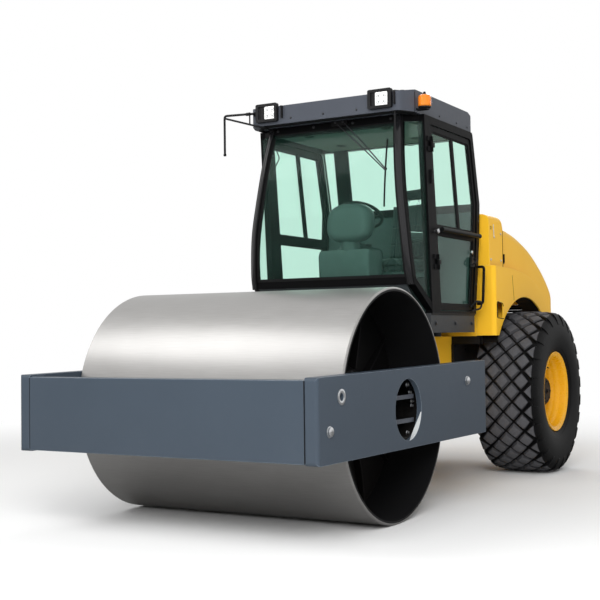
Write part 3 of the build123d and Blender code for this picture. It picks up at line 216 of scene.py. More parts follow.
@dataclass(frozen=True)
class RolledSteel(Finish):
    """Rolled drum plate, ground bright across its width, with a black painted inside."""

    name: str = "rolled_drum_steel"
    slot: Slot = Slot.DRUM_STEEL
    colour: str = "#BFBEBC"
    shade: str = "#AAA8A6"
    inside: str = "#161617"
    roughness: float = 0.36
    inner_radius: float = 0.786

    def make(self) -> Material:
        """Builds the drum plate's material."""
        material, add, place = self.blank()
        centred = add("VectorMath", {0: place, 1: DRUM_AXLE}, {"operation": "SUBTRACT"})
        x, y, z = add("SeparateXYZ", {"Vector": centred}).outputs
        angle = add("Math", {0: z, 1: y}, {"operation": "ARCTAN2"})
        radial = add("CombineXYZ", {"Y": y, "Z": z})
        radius = add("VectorMath", {0: radial}, {"operation": "LENGTH"})
        # The plate was ground across its width: lines 5 to 6 mm apart, drawn coarser than the grit to show.
        across = add("Math", {0: x, 1: 5.0}, PRODUCT)
        along = add("Math", {0: angle, 1: 140.0}, PRODUCT)
        lines = add("CombineXYZ", {"X": across, "Y": along})
        score = add("TexNoise", {"Vector": lines, "Scale": 1.0, "Detail": 3.0})
        # Mill scale leaves faint cloudy patches a hand wide.
        cloud = add("TexNoise", {"Vector": place, "Scale": 5.0, "Detail": 4.0, "Roughness": 0.5})
        blend = add("Mix", {0: 0.2, 2: score, 3: cloud}, NUMBERS)
        spread = add("MapRange", {"Value": blend, "From Min": 0.2, "From Max": 0.8})
        tone = add("Mix", {0: spread, 6: srgb(self.shade), 7: srgb(self.colour)}, COLOURS)
        worn = {"To Min": self.roughness - 0.05, "To Max": self.roughness + 0.07}
        gloss = add("MapRange", {"Value": score, "From Min": 0.25, "From Max": 0.75} | worn)
        bump = add("Bump", {"Strength": 0.06, "Distance": 0.0003, "Height": score})
        ground = {"Base Color": tone, "Metallic": 0.85, "Roughness": gloss, "Normal": bump}
        plate = add("BsdfPrincipled", ground)
        painted = {"Base Color": srgb(self.inside), "Roughness": 0.6, "Specular IOR Level": 0.25, "Normal": bump}
        lining = add("BsdfPrincipled", painted)
        outside = add("Math", {0: radius, 1: self.inner_radius}, {"operation": "GREATER_THAN"})
        either = add("MixShader", {0: outside, 1: lining, 2: plate})
        add("OutputMaterial", {"Surface": either})
        return material


@dataclass(frozen=True)
class BareMetal(Finish):
    """Zinc-plated, phosphated or ground steel fittings with a fine grain."""

    colour: str
    roughness: float = 0.24
    grain_mm: float = 1.2
    rounding_mm: float = 1.2

    def make(self) -> Material:
        """Builds the bare metal's material."""
        material, add, place = self.blank()
        # The grain is finer than a tenth of a millimetre, drawn coarser to show.
        grain = add("TexNoise", {"Vector": place, "Scale": 1000 / self.grain_mm, "Detail": 3.0})
        # Plating and handling leave patches a few centimetres across, some duller.
        patch = add("TexNoise", {"Vector": place, "Scale": 30.0, "Detail": 5.0})
        fade = {"Value": patch, "From Min": 0.3, "From Max": 0.7, "To Min": 0.78, "To Max": 1.05}
        dull = add("MapRange", fade)
        tone = add("HueSaturation", {"Color": srgb(self.colour), "Value": dull})
        worn = {"Value": grain, "To Min": self.roughness - 0.06, "To Max": self.roughness + 0.12}
        gloss = add("MapRange", worn)
        rounding = add("Bevel", {"Radius": self.rounding_mm / 1000}, {"samples": 4})
        relief = {"Strength": 0.08, "Distance": 0.0003, "Height": grain, "Normal": rounding}
        bump = add("Bump", relief)
        metal = {"Base Color": tone, "Metallic": 1.0, "Roughness": gloss, "Normal": bump}
        shader = add("BsdfPrincipled", metal)
        add("OutputMaterial", {"Surface": shader})
        return material


@dataclass(frozen=True)
class Moulded(Finish):
    """Moulded polymer or rubber with a fine spark-eroded grain and soft edges."""

    colour: str
    light: str
    roughness: float = 0.55
    specular: float = 0.35
    grain_mm: float = 1.6
    depth_mm: float = 0.25
    rounding_mm: float = 2.0

    def make(self) -> Material:
        """Builds the moulding's material."""
        material, add, place = self.blank()
        # The mould's grain is under a millimetre, drawn coarser to show.
        pitted = {"Vector": place, "Scale": 1000 / self.grain_mm}
        grain = add("TexVoronoi", pitted, {"feature": "SMOOTH_F1"})
        # Hands and boots scuff it paler in streaks a few centimetres long.
        scuff = add("TexNoise", {"Vector": place, "Scale": 14.0, "Detail": 7.0, "Roughness": 0.7})
        worn = add("MapRange", {"Value": scuff, "From Min": 0.35, "From Max": 0.75})
        tone = add("Mix", {0: worn, 6: srgb(self.colour), 7: srgb(self.light)}, COLOURS)
        spread = {"Value": scuff, "To Min": self.roughness - 0.1, "To Max": self.roughness + 0.1}
        gloss = add("MapRange", spread)
        rounding = add("Bevel", {"Radius": self.rounding_mm / 1000}, {"samples": 4})
        relief = {"Strength": 0.35, "Distance": self.depth_mm / 1000, "Height": grain, "Normal": rounding}
        bump = add("Bump", relief)
        polymer = {"Base Color": tone, "Roughness": gloss, "IOR": 1.5, "Specular IOR Level": self.specular}
        shader = add("BsdfPrincipled", polymer | {"Normal": bump})
        add("OutputMaterial", {"Surface": shader})
        return material


@dataclass(frozen=True)
class TyreRubber(Finish):
    """Vulcanised tyre rubber: black walls and grooves with a soft sheen, treads scuffed grey on top."""

    name: str = "vulcanised_tyre_rubber"
    slot: Slot = Slot.TYRE_RUBBER
    colour: str = "#0B0B0C"
    tread: str = "#464648"
    scuffed: str = "#5E5E62"
    roughness: float = 0.52
    worn_roughness: float = 0.75
    groove_floor: float = 0.7125
    block_top: float = 0.7155
    rounding_mm: float = 3.0

    def make(self) -> Material:
        """Builds the tyre's material."""
        material, add, place = self.blank()
        centred = add("VectorMath", {0: place, 1: WHEEL_AXLE}, {"operation": "SUBTRACT"})
        _, y, z = add("SeparateXYZ", {"Vector": centred}).outputs
        radial = add("CombineXYZ", {"Y": y, "Z": z})
        radius = add("VectorMath", {0: radial}, {"operation": "LENGTH"})
        out = add("VectorMath", {0: radial}, {"operation": "NORMALIZE"})
        # Only faces that turn outwards and lie above the grooves touch the ground and go grey.
        normal = place.node.outputs["Normal"]
        facing = add("VectorMath", {0: out, 1: normal}, {"operation": "DOT_PRODUCT"})
        top = add("MapRange", {"Value": facing, "From Min": 0.4, "From Max": 0.96, "To Min": 0.32})
        rise = {"Value": radius, "From Min": self.groove_floor, "From Max": self.block_top}
        high = add("MapRange", rise)
        worn = add("Math", {0: top, 1: high}, PRODUCT)
        # Gravel scuffs the block tops in patches about 20 mm across.
        patch = add("TexNoise", {"Vector": place, "Scale": 48.0, "Detail": 6.0, "Roughness": 0.65})
        grey = add("Mix", {0: patch, 6: srgb(self.tread), 7: srgb(self.scuffed)}, COLOURS)
        tone = add("Mix", {0: worn, 6: srgb(self.colour), 7: grey}, COLOURS)
        # Fine moulded rings, about 5 mm apart at this scale, run round the sidewall.
        circles = {"wave_type": "RINGS", "rings_direction": "X"}
        rings = add("TexWave", {"Vector": centred, "Scale": 62.0}, circles).outputs["Fac"]
        grain = add("TexNoise", {"Vector": place, "Scale": 420.0, "Detail": 3.0})
        relief = add("Mix", {0: 0.35, 2: grain, 3: rings}, NUMBERS)
        rounding = add("Bevel", {"Radius": self.rounding_mm / 1000}, {"samples": 4})
        raised = {"Strength": 0.3, "Distance": 0.0005, "Height": relief, "Normal": rounding}
        bump = add("Bump", raised)
        spread = {"Value": worn, "To Min": self.roughness, "To Max": self.worn_roughness}
        gloss = add("MapRange", spread)
        rubber = {"Base Color": tone, "Roughness": gloss, "IOR": 1.5, "Specular IOR Level": 0.18, "Normal": bump}
        shader = add("BsdfPrincipled", rubber)
        add("OutputMaterial", {"Surface": shader})
        return material


@dataclass(frozen=True)
class WovenCloth(Finish):
    """Flat-woven polyester seat cloth, matt with a visible thread and a soft nap."""

    name: str = "woven_seat_cloth"
    slot: Slot = Slot.SEAT_CLOTH
    colour: str = "#2B2D30"
    light: str = "#45484C"
    thread_mm: float = 2.4

    def make(self) -> Material:
        """Builds the cloth's material."""
        material, add, place = self.blank()
        # Threads are about 0.8 mm apart, drawn three times coarser to show.
        thread = {"Vector": place, "Scale": 1000 / self.thread_mm / WAVES_PER_METRE, "Distortion": 0.6}
        warp = add("TexWave", thread, {"bands_direction": "X"}).outputs["Fac"]
        weft = add("TexWave", thread, {"bands_direction": "DIAGONAL"}).outputs["Fac"]
        weave = add("Math", {0: warp, 1: weft}, PRODUCT)
        # Wear lifts the nap in patches a few centimetres across.
        nap = add("TexNoise", {"Vector": place, "Scale": 26.0, "Detail": 5.0})
        share = add("Mix", {0: 0.45, 2: weave, 3: nap}, NUMBERS)
        tone = add("Mix", {0: share, 6: srgb(self.colour), 7: srgb(self.light)}, COLOURS)
        bump = add("Bump", {"Strength": 0.5, "Distance": 0.0008, "Height": weave})
        cloth = {"Base Color": tone, "Roughness": 0.85, "Specular IOR Level": 0.2, "Sheen Weight": 0.25}
        shader = add("BsdfPrincipled", cloth | {"Normal": bump})
        add("OutputMaterial", {"Surface": shader})
        return material


@dataclass(frozen=True)
class TintedGlass(Finish):
    """Heat-absorbing green safety glass, clear enough to see the operator's seat."""

    name: str = "green_safety_glass"
    slot: Slot = Slot.TINTED_GLASS
    tint: str = "#E0F7EE"
    haze: str = "#7FBFAE"
    # Both faces of a thin pane bend light back, and a coat cuts its glare: the low index stands for both.
    index: float = 1.15

    def make(self) -> Material:
        """Builds the glass, with a light path that lets lamps and sky reach the cab's inside."""
        material, add, place = self.blank()
        # A wiped film of dust leaves faint smears a hand wide.
        film = add("TexNoise", {"Vector": place, "Scale": 6.0, "Detail": 6.0})
        smear = add("MapRange", {"Value": film, "To Min": 0.003, "To Max": 0.018})
        pane = {"Base Color": srgb(self.tint), "Roughness": 0.0, "IOR": self.index, "Transmission Weight": 1.0}
        glass = add("BsdfPrincipled", pane)
        veil = add("BsdfDiffuse", {"Color": srgb(self.haze)})
        body = add("MixShader", {0: smear, 1: glass, 2: veil})
        rays = add("LightPath").outputs
        lamp = add("Math", {0: rays["Is Shadow Ray"], 1: rays["Is Diffuse Ray"]}, HIGHER)
        clear = add("BsdfTransparent", {"Color": srgb(self.tint)})
        either = add("MixShader", {0: lamp, 1: body, 2: clear})
        add("OutputMaterial", {"Surface": either})
        return material


@dataclass(frozen=True)
class LampPlastic(Finish):
    """Clear or tinted polycarbonate lens, glossy, with a painted glow standing in for light scattered inside."""

    colour: str
    through: float
    painted_glow: float
    prism_mm: float = 6.25

    def make(self) -> Material:
        """Builds the lens plastic's material."""
        material, add, place = self.blank()
        # Prisms moulded inside the lens are about 6 mm across.
        squares = {"Vector": place, "Scale": 1000 / self.prism_mm, "Randomness": 0.0}
        prism = add("TexVoronoi", squares, {"distance": "CHEBYCHEV"})
        bump = add("Bump", {"Strength": 0.4, "Distance": 0.0012, "Height": prism})
        colour = srgb(self.colour)
        body = {"Base Color": colour, "Roughness": 0.12, "IOR": 1.58, "Transmission Weight": self.through}
        skin = {"Coat Weight": 0.5, "Coat Roughness": 0.04, "Normal": bump}
        # Painted light: the lens glows faintly by emission, although the lamp is off.
        painted_light = {"Emission Color": colour, "Emission Strength": self.painted_glow}
        shader = add("BsdfPrincipled", body | skin | painted_light)
        add("OutputMaterial", {"Surface": shader})
        return material


def racked(finish: Finish) -> Any:
    """Gives a rack field that makes a finish's material."""
    return field(default_factory=finish.make)


@dataclass
class FinishRack:
    """Every finish of the machine, made once and shared by its pieces."""

    # The third colour of each enamel is its painted highlight along the arrises.
    slate: Material = racked(
        Enamel(
            "slate_enamel", Slot.FRAME_PAINT, "#414B56", "#3B4550", "#9EABB8",
            specular=0.2, rounding_mm=5.0, dust=0.05,
        )
    )
    yellow: Material = racked(
        Enamel("yellow_enamel", Slot.YELLOW_PAINT, "#FBC436", "#F6BB2B", "#FFE07A", specular=0.12, dust=0.05)
    )
    charcoal: Material = racked(
        Enamel(
            "charcoal_enamel", Slot.CAB_PAINT, "#0B0B0C", "#09090A", "#2A2B2D",
            roughness=0.4, specular=0.06, dust=0.03,
        )
    )
    gloss_black: Material = racked(
        Enamel(
            "gloss_black_cover", Slot.CAB_PAINT, "#1C1C1E", "#18181A", "#3C3C3E",
            roughness=0.16, peel_mm=9.0, dust=0.0,
        )
    )
    skirt: Material = racked(
        Enamel("grey_skirt_enamel", Slot.CAB_PAINT, "#37393B", "#323436", "#5C5E60", specular=0.2, dust=0.04)
    )
    roof: Material = racked(
        Enamel("roof_enamel", Slot.ROOF_PAINT, "#4A4E56", "#454951", "#7E848C", specular=0.22, dust=0.03)
    )
    black: Material = racked(
        Enamel(
            "black_chassis_enamel", Slot.BLACK_PAINT, "#0F0F10", "#0B0B0C", "#262628",
            roughness=0.45, specular=0.18, dust=0.04,
        )
    )
    casting: Material = racked(
        Enamel("grey_casting_enamel", Slot.CAST_IRON, "#3B3D3F", "#303234", "#5A5C5E", roughness=0.55, peel_mm=9.0)
    )
    drum: Material = racked(RolledSteel())
    tyre: Material = racked(TyreRubber())
    rim: Material = racked(
        Enamel(
            "yellow_rim_enamel", Slot.YELLOW_PAINT, "#F3B216", "#ECA80F", "#FFE07A",
            roughness=0.26, specular=0.4, rounding_mm=3.0, dust=0.06,
        )
    )
    zinc: Material = racked(BareMetal("zinc_plated_steel", Slot.BRIGHT_STEEL, "#EEF0F2"))
    dull_steel: Material = racked(
        BareMetal("phosphated_bolt_steel", Slot.BRIGHT_STEEL, "#5C5D60", roughness=0.45)
    )
    # A pale sheet in each port: painted highlight where light falls on the port's wall.
    port_highlight: Material = racked(
        Enamel("painted_port_highlight", Slot.BRIGHT_STEEL, "#DADDDD", "#C3C7C8", "#F4F4F4", dust=0.0)
    )
    ground_rod: Material = racked(BareMetal("hard_chromed_rod", Slot.BRIGHT_STEEL, "#D5D7D9", roughness=0.14))
    moulding: Material = racked(Moulded("black_moulding", Slot.BLACK_PLASTIC, "#121213", "#1C1C1E"))
    trim: Material = racked(Moulded("grey_cab_trim", Slot.BLACK_PLASTIC, "#474D4F", "#51575A", specular=0.2))
    lining: Material = racked(
        Moulded("pale_headlining", Slot.BLACK_PLASTIC, "#686E6D", "#737978", roughness=0.85, grain_mm=4.0)
    )
    rubber: Material = racked(
        Moulded("seal_rubber", Slot.BLACK_PLASTIC, "#0B0B0C", "#141415", roughness=0.65, specular=0.25)
    )
    cloth: Material = racked(WovenCloth())
    glass: Material = racked(TintedGlass())
    amber: Material = racked(LampPlastic("amber_lens", Slot.AMBER, "#F88F1A", through=0.3, painted_glow=0.12))
    clear_lens: Material = racked(
        LampPlastic("clear_lamp_lens", Slot.BRIGHT_STEEL, "#F4F5F3", through=0.0, painted_glow=0.15)
    )
    red_lens: Material = racked(LampPlastic("red_lamp_lens", Slot.AMBER, "#B3140F", through=0.15, painted_glow=0.05))


# --- Mesh making ---


class Side(Enum):
    """The machine's left and right, as the sign of X."""

    LEFT = 1
    RIGHT = -1

    @property
    def word(self) -> str:
        """The side's name in node names."""
        return self.name.lower()

    @property
    def out(self) -> Point:
        """The way out of the machine on this side."""
        return (self.value, 0, 0)

    def span(self, near: float, far: float) -> Flat:
        """Gives two distances from the middle as a low and a high X."""
        low, high = sorted((self.value * near, self.value * far))
        return low, high


def turns(count: int) -> list[float]:
    """Gives evenly spaced angles round a circle."""
    return [2 * math.pi * k / count for k in range(count)]


def rounded(points: Sequence[Point], bend: float, steps: int = 5) -> list[Vector]:
    """Rounds the corners of a path.

    Args:
        points: the path's corners.
        bend: how far from each corner its curve begins.
        steps: points in each curve.
    Returns:
        The path with its corners rounded.
    """
    path = [Vector(p) for p in points]
    made = [path[0]]
    for before, corner, after in zip(path, path[1:], path[2:]):
        start, end = (
            corner + (other - corner).normalized() * min(bend, (other - corner).length * 0.49)
            for other in (before, after)
        )
        for i in range(steps + 1):
            t = i / steps
            made.append(start * (1 - t) ** 2 + corner * 2 * t * (1 - t) + end * t**2)
    return made + [path[-1]]


def inset_outline(points: Sequence[Vector], distance: float, normal: Vector) -> list[Vector]:
    """Moves each side of a closed flat outline inwards.

    Args:
        points: the outline's corners.
        distance: how far each side moves; below zero is outwards.
        normal: the outline's normal.
    Returns:
        The moved corners.
    """
    count = len(points)
    middle = sum(points, Vector()) / count
    made = []
    for i, corner in enumerate(points):
        back = (points[i - 1] - corner).normalized()
        ahead = (points[(i + 1) % count] - corner).normalized()
        across = normal.cross(ahead).normalized()
        if across.dot(middle - corner) < 0:
            across.negate()
        half = math.sqrt(max(0.02, (1 - back.dot(ahead)) / 2))
        way = back + ahead
        way = way.normalized() if way.length > 0.02 else across
        if way.dot(middle - corner) < 0:
            way.negate()
        made.append(corner + way * distance / half)
    return made


@dataclass
class Mould:
    """Gathers welded shapes into one mesh, then turns them out as a piece of the machine."""

    shape: bmesh.types.BMesh = field(default_factory=bmesh.new)

    def skin(self, loops: Sequence[Sequence[Vector]], around: bool = True, back: bool = False) -> None:
        """Skins a row of loops and caps its ends.

        Args:
            loops: loops of one length, in order.
            around: whether each loop is closed.
            back: whether the last loop joins the first, with no caps.
        """
        rows = [[self.shape.verts.new(p) for p in loop] for loop in loops]
        count = len(rows[0])
        for near, far in list(zip(rows, rows[1:])) + ([(rows[-1], rows[0])] if back else []):
            for i in range(count if around else count - 1):
                j = (i + 1) % count
                self.shape.faces.new((near[i], near[j], far[j], far[i]))
        if around and not back:
            self.shape.faces.new(list(reversed(rows[0])))
            self.shape.faces.new(rows[-1])

    def prism(self, points: Sequence[Point], way: Point) -> None:
        """Pushes a flat outline along a way."""
        outline = [Vector(p) for p in points]
        self.skin([outline, [p + Vector(way) for p in outline]])

    def block(self, low: Point, high: Point) -> None:
        """Adds a box between two corners."""
        (x0, y0, z0), (x1, y1, z1) = low, high
        self.prism([(x0, y0, z0), (x1, y0, z0), (x1, y1, z0), (x0, y1, z0)], (0, 0, z1 - z0))

    def turned(self, rows: Sequence[Flat], at: Point, axis: Point, steps: int = 40, back: bool = False) -> None:
        """Turns a profile about an axis.

        Args:
            rows: the profile as distance along the axis and radius.
            at: the axis's origin.
            axis: its direction.
            steps: points round each ring.
            back: whether the profile is closed on itself.
        """
        along = Vector(axis).normalized()
        side = along.orthogonal().normalized()
        other = along.cross(side)
        spokes = [side * math.cos(t) + other * math.sin(t) for t in turns(steps)]
        self.skin([[Vector(at) + along * a + spoke * r for spoke in spokes] for a, r in rows], back=back)

    def tube(self, points: Sequence[Point], radius: float, steps: int = 10) -> None:
        """Runs a round bar along a path.

        Args:
            points: the bar's middle line.
            radius: its radius.
            steps: points round it.
        """
        path = [Vector(p) for p in points]
        heads = [(b - a).normalized() for a, b in zip(path, path[1:])]
        heads = [heads[0]] + [(a + b).normalized() for a, b in zip(heads, heads[1:])] + [heads[-1]]
        side = heads[0].orthogonal()
        loops = []
        for point, head in zip(path, heads):
            side = (side - head * side.dot(head)).normalized()
            other = head.cross(side)
            loops.append([point + (side * math.cos(t) + other * math.sin(t)) * radius for t in turns(steps)])
        self.skin(loops)

    def bolt(self, at: Point, axis: Point, radius: float, high: float, domed: bool = False) -> None:
        """Adds a washer and a head.

        Args:
            at: the middle of the washer's seat.
            axis: the way the bolt faces.
            radius: the head's radius.
            high: its height.
            domed: whether the head is domed, not hexagonal.
        """
        washer, bevelled = radius * 1.55, radius * 1.45
        self.turned([(-0.001, washer), (high * 0.18, washer), (high * 0.22, bevelled)], at, axis, 24)
        if domed:
            rows = [(0.0, 1.0), (high * 0.7, 0.98), (high * 0.86, 0.8), (high * 0.96, 0.45), (high, 0.12)]
            self.turned([(a, radius * r) for a, r in rows], at, axis, 24)
        else:
            self.turned([(0.0, radius), (high * 0.88, radius), (high, radius * 0.84)], at, axis, 6)

    def screws(self, spots: Sequence[Point], axis: Point, radius: float, high: float) -> None:
        """Adds a domed head at each spot."""
        for spot in spots:
            self.bolt(spot, axis, radius, high, domed=True)

    def frame_ring(self, outline: Sequence[Vector], width: float, normal: Point, thick: float) -> None:
        """Adds a flat band along the inside of a closed outline.

        Args:
            outline: the band's outer corners.
            width: the band's width.
            normal: the side towards which it is thick.
            thick: its thickness.
        """
        face = Vector(normal).normalized()
        eased = thick * 0.35
        outer = [Vector(p) for p in outline]
        inner = inset_outline(outer, width, face)
        rise, lift = face * (thick - eased), face * thick
        loops = [outer, [p + rise for p in outer]]
        loops += [[p + lift for p in inset_outline(outer, inset, face)] for inset in (eased, width - eased)]
        loops += [[p + rise for p in inner], inner]
        self.skin(loops, back=True)

    def make(
        self,
        name: str,
        finish: Material,
        body: str = "rear_frame",
        stands_for: Sequence[str] = (),
        sharp: float = 38.0,
    ) -> Piece:
        """Turns the mesh out as a piece that rides on a body.

        Args:
            name: the piece's name.
            finish: its material, which also names its slot.
            body: the body it rides on.
            stands_for: frame nodes that it replaces.
            sharp: the angle in degrees above which an edge stays crisp.
        Returns:
            The piece.
        """
        bmesh.ops.remove_doubles(self.shape, verts=self.shape.verts, dist=2e-5)
        bmesh.ops.recalc_face_normals(self.shape, faces=self.shape.faces)
        mesh = bpy.data.meshes.new(name)
        self.shape.to_mesh(mesh)
        self.shape.free()
        mesh.shade_smooth()
        mesh.set_sharp_from_angle(angle=math.radians(sharp))
        mesh.materials.append(finish)
        piece = bpy.data.objects.new(name, mesh)
        bpy.context.scene.collection.objects.link(piece)
        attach(piece, body)
        if stands_for:
            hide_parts(*stands_for)
        log.info("%s: %d faces on %s", name, len(mesh.polygons), body)
        return piece


def hull_2d(points: Sequence[Flat]) -> list[Flat]:
    """Finds the convex outline of flat points.

    Args:
        points: the points.
    Returns:
        The outline, counter-clockwise, with no point on a straight run.
    """
    ordered = sorted(set((round(u, 5), round(v, 5)) for u, v in points))
    halves = []
    for run in (ordered, ordered[::-1]):
        chain: list[Flat] = []
        for u, v in run:
            while len(chain) > 1:
                (a, b), (c, d) = chain[-2:]
                if (c - a) * (v - b) - (d - b) * (u - a) > 1e-7:
                    break
                chain.pop()
            chain.append((u, v))
        halves.append(chain[:-1])
    return halves[0] + halves[1]


def pane_outlines(node: Piece, thickest: float = 0.02) -> list[list[Vector]]:
    """Finds the outer outline of each flat side pane in a node.

    Args:
        node: a frame node whose panes stand across X.
        thickest: the most that a flat side pane measures along X.
    Returns:
        One closed outline a pane, on the pane's outer face.
    """
    shape = bmesh.new()
    shape.from_mesh(node.data)
    bmesh.ops.remove_doubles(shape, verts=shape.verts, dist=1e-5)
    seen: set[int] = set()
    made = []
    for vert in shape.verts:
        if vert.index in seen:
            continue
        pane, queue = [], [vert]
        seen.add(vert.index)
        while queue:
            here = queue.pop()
            pane.append(here.co.copy())
            for there in (edge.other_vert(here) for edge in here.link_edges):
                if there.index not in seen:
                    seen.add(there.index)
                    queue.append(there)
        if max(p.x for p in pane) - min(p.x for p in pane) <= thickest:
            outer = max((p.x for p in pane), key=abs)
            made.append([Vector((outer, y, z)) for y, z in hull_2d([(p.y, p.z) for p in pane])])
    shape.free()
    return made


@dataclass
class Fittings:
    """The fittings of one sub-assembly, in the machine's shared finishes."""

    rack: FinishRack


# --- Front frame and drum ---


@dataclass
class FrontFrameFittings(Fittings):
    """Bolts, tie-down rings, port covers with a painted highlight in each port, and seams of the box frame round the
    drum.
    """

    plate_x: float = 1.155
    plate_inner_x: float = 1.064
    # Places on a plate are in Y and Z, the port's bolts from the port's middle, each with its radius.
    bolt_places: tuple[Flat, ...] = ((-2.694, 0.715), (-0.546, 0.925))
    eye: Flat = (-2.543, 0.911)
    port: Flat = (-1.585, 0.775)
    port_edge: Flat = (0.2072, 0.2035)
    port_cover_x: float = 1.098
    port_bolts: tuple[tuple[float, float, float], ...] = (
        (0.122, 0.165, 0.015), (0.165, 0.108, 0.015), (0.19, 0.045, 0.009), (0.186, 0.015, 0.009), (0.11, -0.165, 0.01)
    )
    # The outer faces of the front and rear crossbeams, and the tops of both.
    head_y: float = -2.83
    foot_y: float = -0.523
    weld_z: float = 1.0205

    def build(self) -> None:
        """Makes every fitting of the frame."""
        for side in Side:
            self.bolts_and_ring(side)
            self.port_highlight_and_cover(side)
            self.seams(side)
        self.hitch_bolts()

    def bolts_and_ring(self, side: Side) -> None:
        """Makes the domed bolts and the tie-down ring of one plate.

        Args:
            side: the plate's side.
        """
        mould = Mould()
        x = side.value * self.plate_x
        flange = [(-0.001, 0.0345), (0.004, 0.0345), (0.005, 0.0335), (0.0052, 0.0296)]
        dome = [(0.0148, 0.0292), (0.0195, 0.023), (0.0215, 0.012), (0.0218, 0.001)]
        for y, z in self.bolt_places:
            mould.turned(flange + dome, (x, y, z), side.out)
        ring = [(0.0, 0.0492), (0.0056, 0.0486), (0.0066, 0.0465), (0.0066, 0.0275), (0.0052, 0.0243), (0.0, 0.0243)]
        mould.turned(ring, (x, *self.eye), side.out, 56, back=True)
        mould.make(f"plate_bolts_{side.word}", self.rack.zinc, "front_frame")

    def port_highlight_and_cover(self, side: Side) -> None:
        """Makes the bright crescent of painted highlight on the port's wall, the cover bars and the bolts seen in one
        plate's port.

        Args:
            side: the plate's side.
        """
        y, z = self.port
        outer, inner = self.port_edge
        # Painted highlight: a pale crescent sheet on the port's lower rear wall, where light falls.
        painted_highlight = Mould()
        steps = 26
        loops = []
        for i in range(steps + 1):
            turn = math.radians(-8 - 77 * i / steps)
            wide = 0.005 + 0.029 * math.sin(math.pi * i / steps)
            loop = []
            for depth, radius in ((0.001, outer), (0.001, inner), (wide, inner), (wide, outer)):
                x = side.value * (self.plate_x - depth)
                loop.append(Vector((x, y + radius * math.cos(turn), z + radius * math.sin(turn))))
            loops.append(loop)
        painted_highlight.skin(loops)
        painted_highlight.make(f"port_edge_{side.word}", self.rack.port_highlight, "front_frame")
        bars = Mould()
        x0, x1 = side.span(self.port_cover_x, self.port_cover_x + 0.007)
        for dz in (-0.08, 0.08):
            reach = math.sqrt(0.2**2 - dz**2)
            bars.block((x0, y + 0.004 - reach, z + dz - 0.014), (x1, y + 0.004 + reach, z + dz + 0.014))
        bars.make(f"port_bars_{side.word}", self.rack.roof, "front_frame")
        bolts = Mould()
        for dy, dz, radius in self.port_bolts + tuple((-dy, dz, r) for dy, dz, r in self.port_bolts[:2]):
            bolts.bolt((side.value * (self.port_cover_x - 0.012), y + dy, z + dz), side.out, radius, 0.018)
        bolts.make(f"port_bolts_{side.word}", self.rack.zinc, "front_frame")

    def seams(self, side: Side) -> None:
        """Makes the sealed seams between a plate and the crossbeams, with their weld runs behind.

        Args:
            side: the plate's side.
        """
        x = side.value * self.plate_inner_x
        seam = Mould()
        seam.block((x - 0.0025, self.head_y - 0.0002, 0.536), (x + 0.0025, self.head_y + 0.001, 1.018))
        seam.make(f"beam_seam_{side.word}", self.rack.rubber, "front_frame")
        weld = Mould()
        inner = x - side.value * 0.004
        for y0, y1 in ((-2.806, -2.70), (-0.515, -0.295)):
            weld.tube([(inner, y0, self.weld_z), (inner, y1, self.weld_z)], 0.006, 8)
        for y, z0, z1 in ((-2.805, 0.56, 0.995), (self.foot_y, 0.54, 1.015)):
            weld.tube([(inner, y, z0), (inner, y, z1)], 0.007, 8)
        weld.make(f"beam_welds_{side.word}", self.rack.slate, "front_frame")

    def hitch_bolts(self) -> None:
        """Makes the bolts of the oscillation bearing and the steering bearing caps."""
        ring = Mould()
        for turn in turns(10):
            ring.bolt((0.143 * math.cos(turn), -0.2205, 0.775 + 0.143 * math.sin(turn)), BACKWARD, 0.011, 0.014)
        ring.make("bearing_bolts", self.rack.zinc, "front_frame")
        caps = Mould()
        for turn in turns(6):
            caps.bolt((0.093 * math.cos(turn), 0.094 + 0.093 * math.sin(turn), 1.032), UP, 0.009, 0.012)
        nipple = [(0.0, 0.014), (0.012, 0.014), (0.016, 0.007), (0.03, 0.007), (0.034, 0.003)]
        caps.turned(nipple, (0, 0.094, 1.045), UP, 16)
        caps.make("steering_bearing_bolts", self.rack.zinc)


@dataclass
class DrumFittings(Fittings):
    """Ribs and bolts on the drum's end discs."""

    disc_x: float = 0.65
    boss_x: float = 0.715
    bolt_circle: float = 0.212
    rib_half: float = 0.007
    ribs: int = 10
    bolts: int = 20

    def build(self) -> None:
        """Makes the ribs and bolts of both ends."""
        profile = [(0.255, 0.0), (0.77, 0.0), (0.77, 0.03), (0.55, 0.05), (0.255, 0.058)]
        for side in Side:
            ribs = Mould()
            for turn in turns(self.ribs):
                out = Vector((0, math.cos(turn), math.sin(turn)))
                across = Vector((0, -math.sin(turn), math.cos(turn))) * self.rib_half
                rise = [(Vector((side.value * (self.disc_x + lift), 0, 0)), r) for r, lift in profile]
                ribs.prism([DRUM_AXLE + lift + out * r - across for lift, r in rise], across * 2)
            ribs.make(f"drum_ribs_{side.word}", self.rack.black, "drum")
            bolts = Mould()
            for turn in turns(self.bolts):
                y, z = self.bolt_circle * math.cos(turn), self.bolt_circle * math.sin(turn)
                bolts.bolt(DRUM_AXLE + Vector((side.value * self.boss_x, y, z)), side.out, 0.011, 0.014)
            bolts.make(f"drum_bolts_{side.word}", self.rack.dull_steel, "drum")


# --- Wheels ---


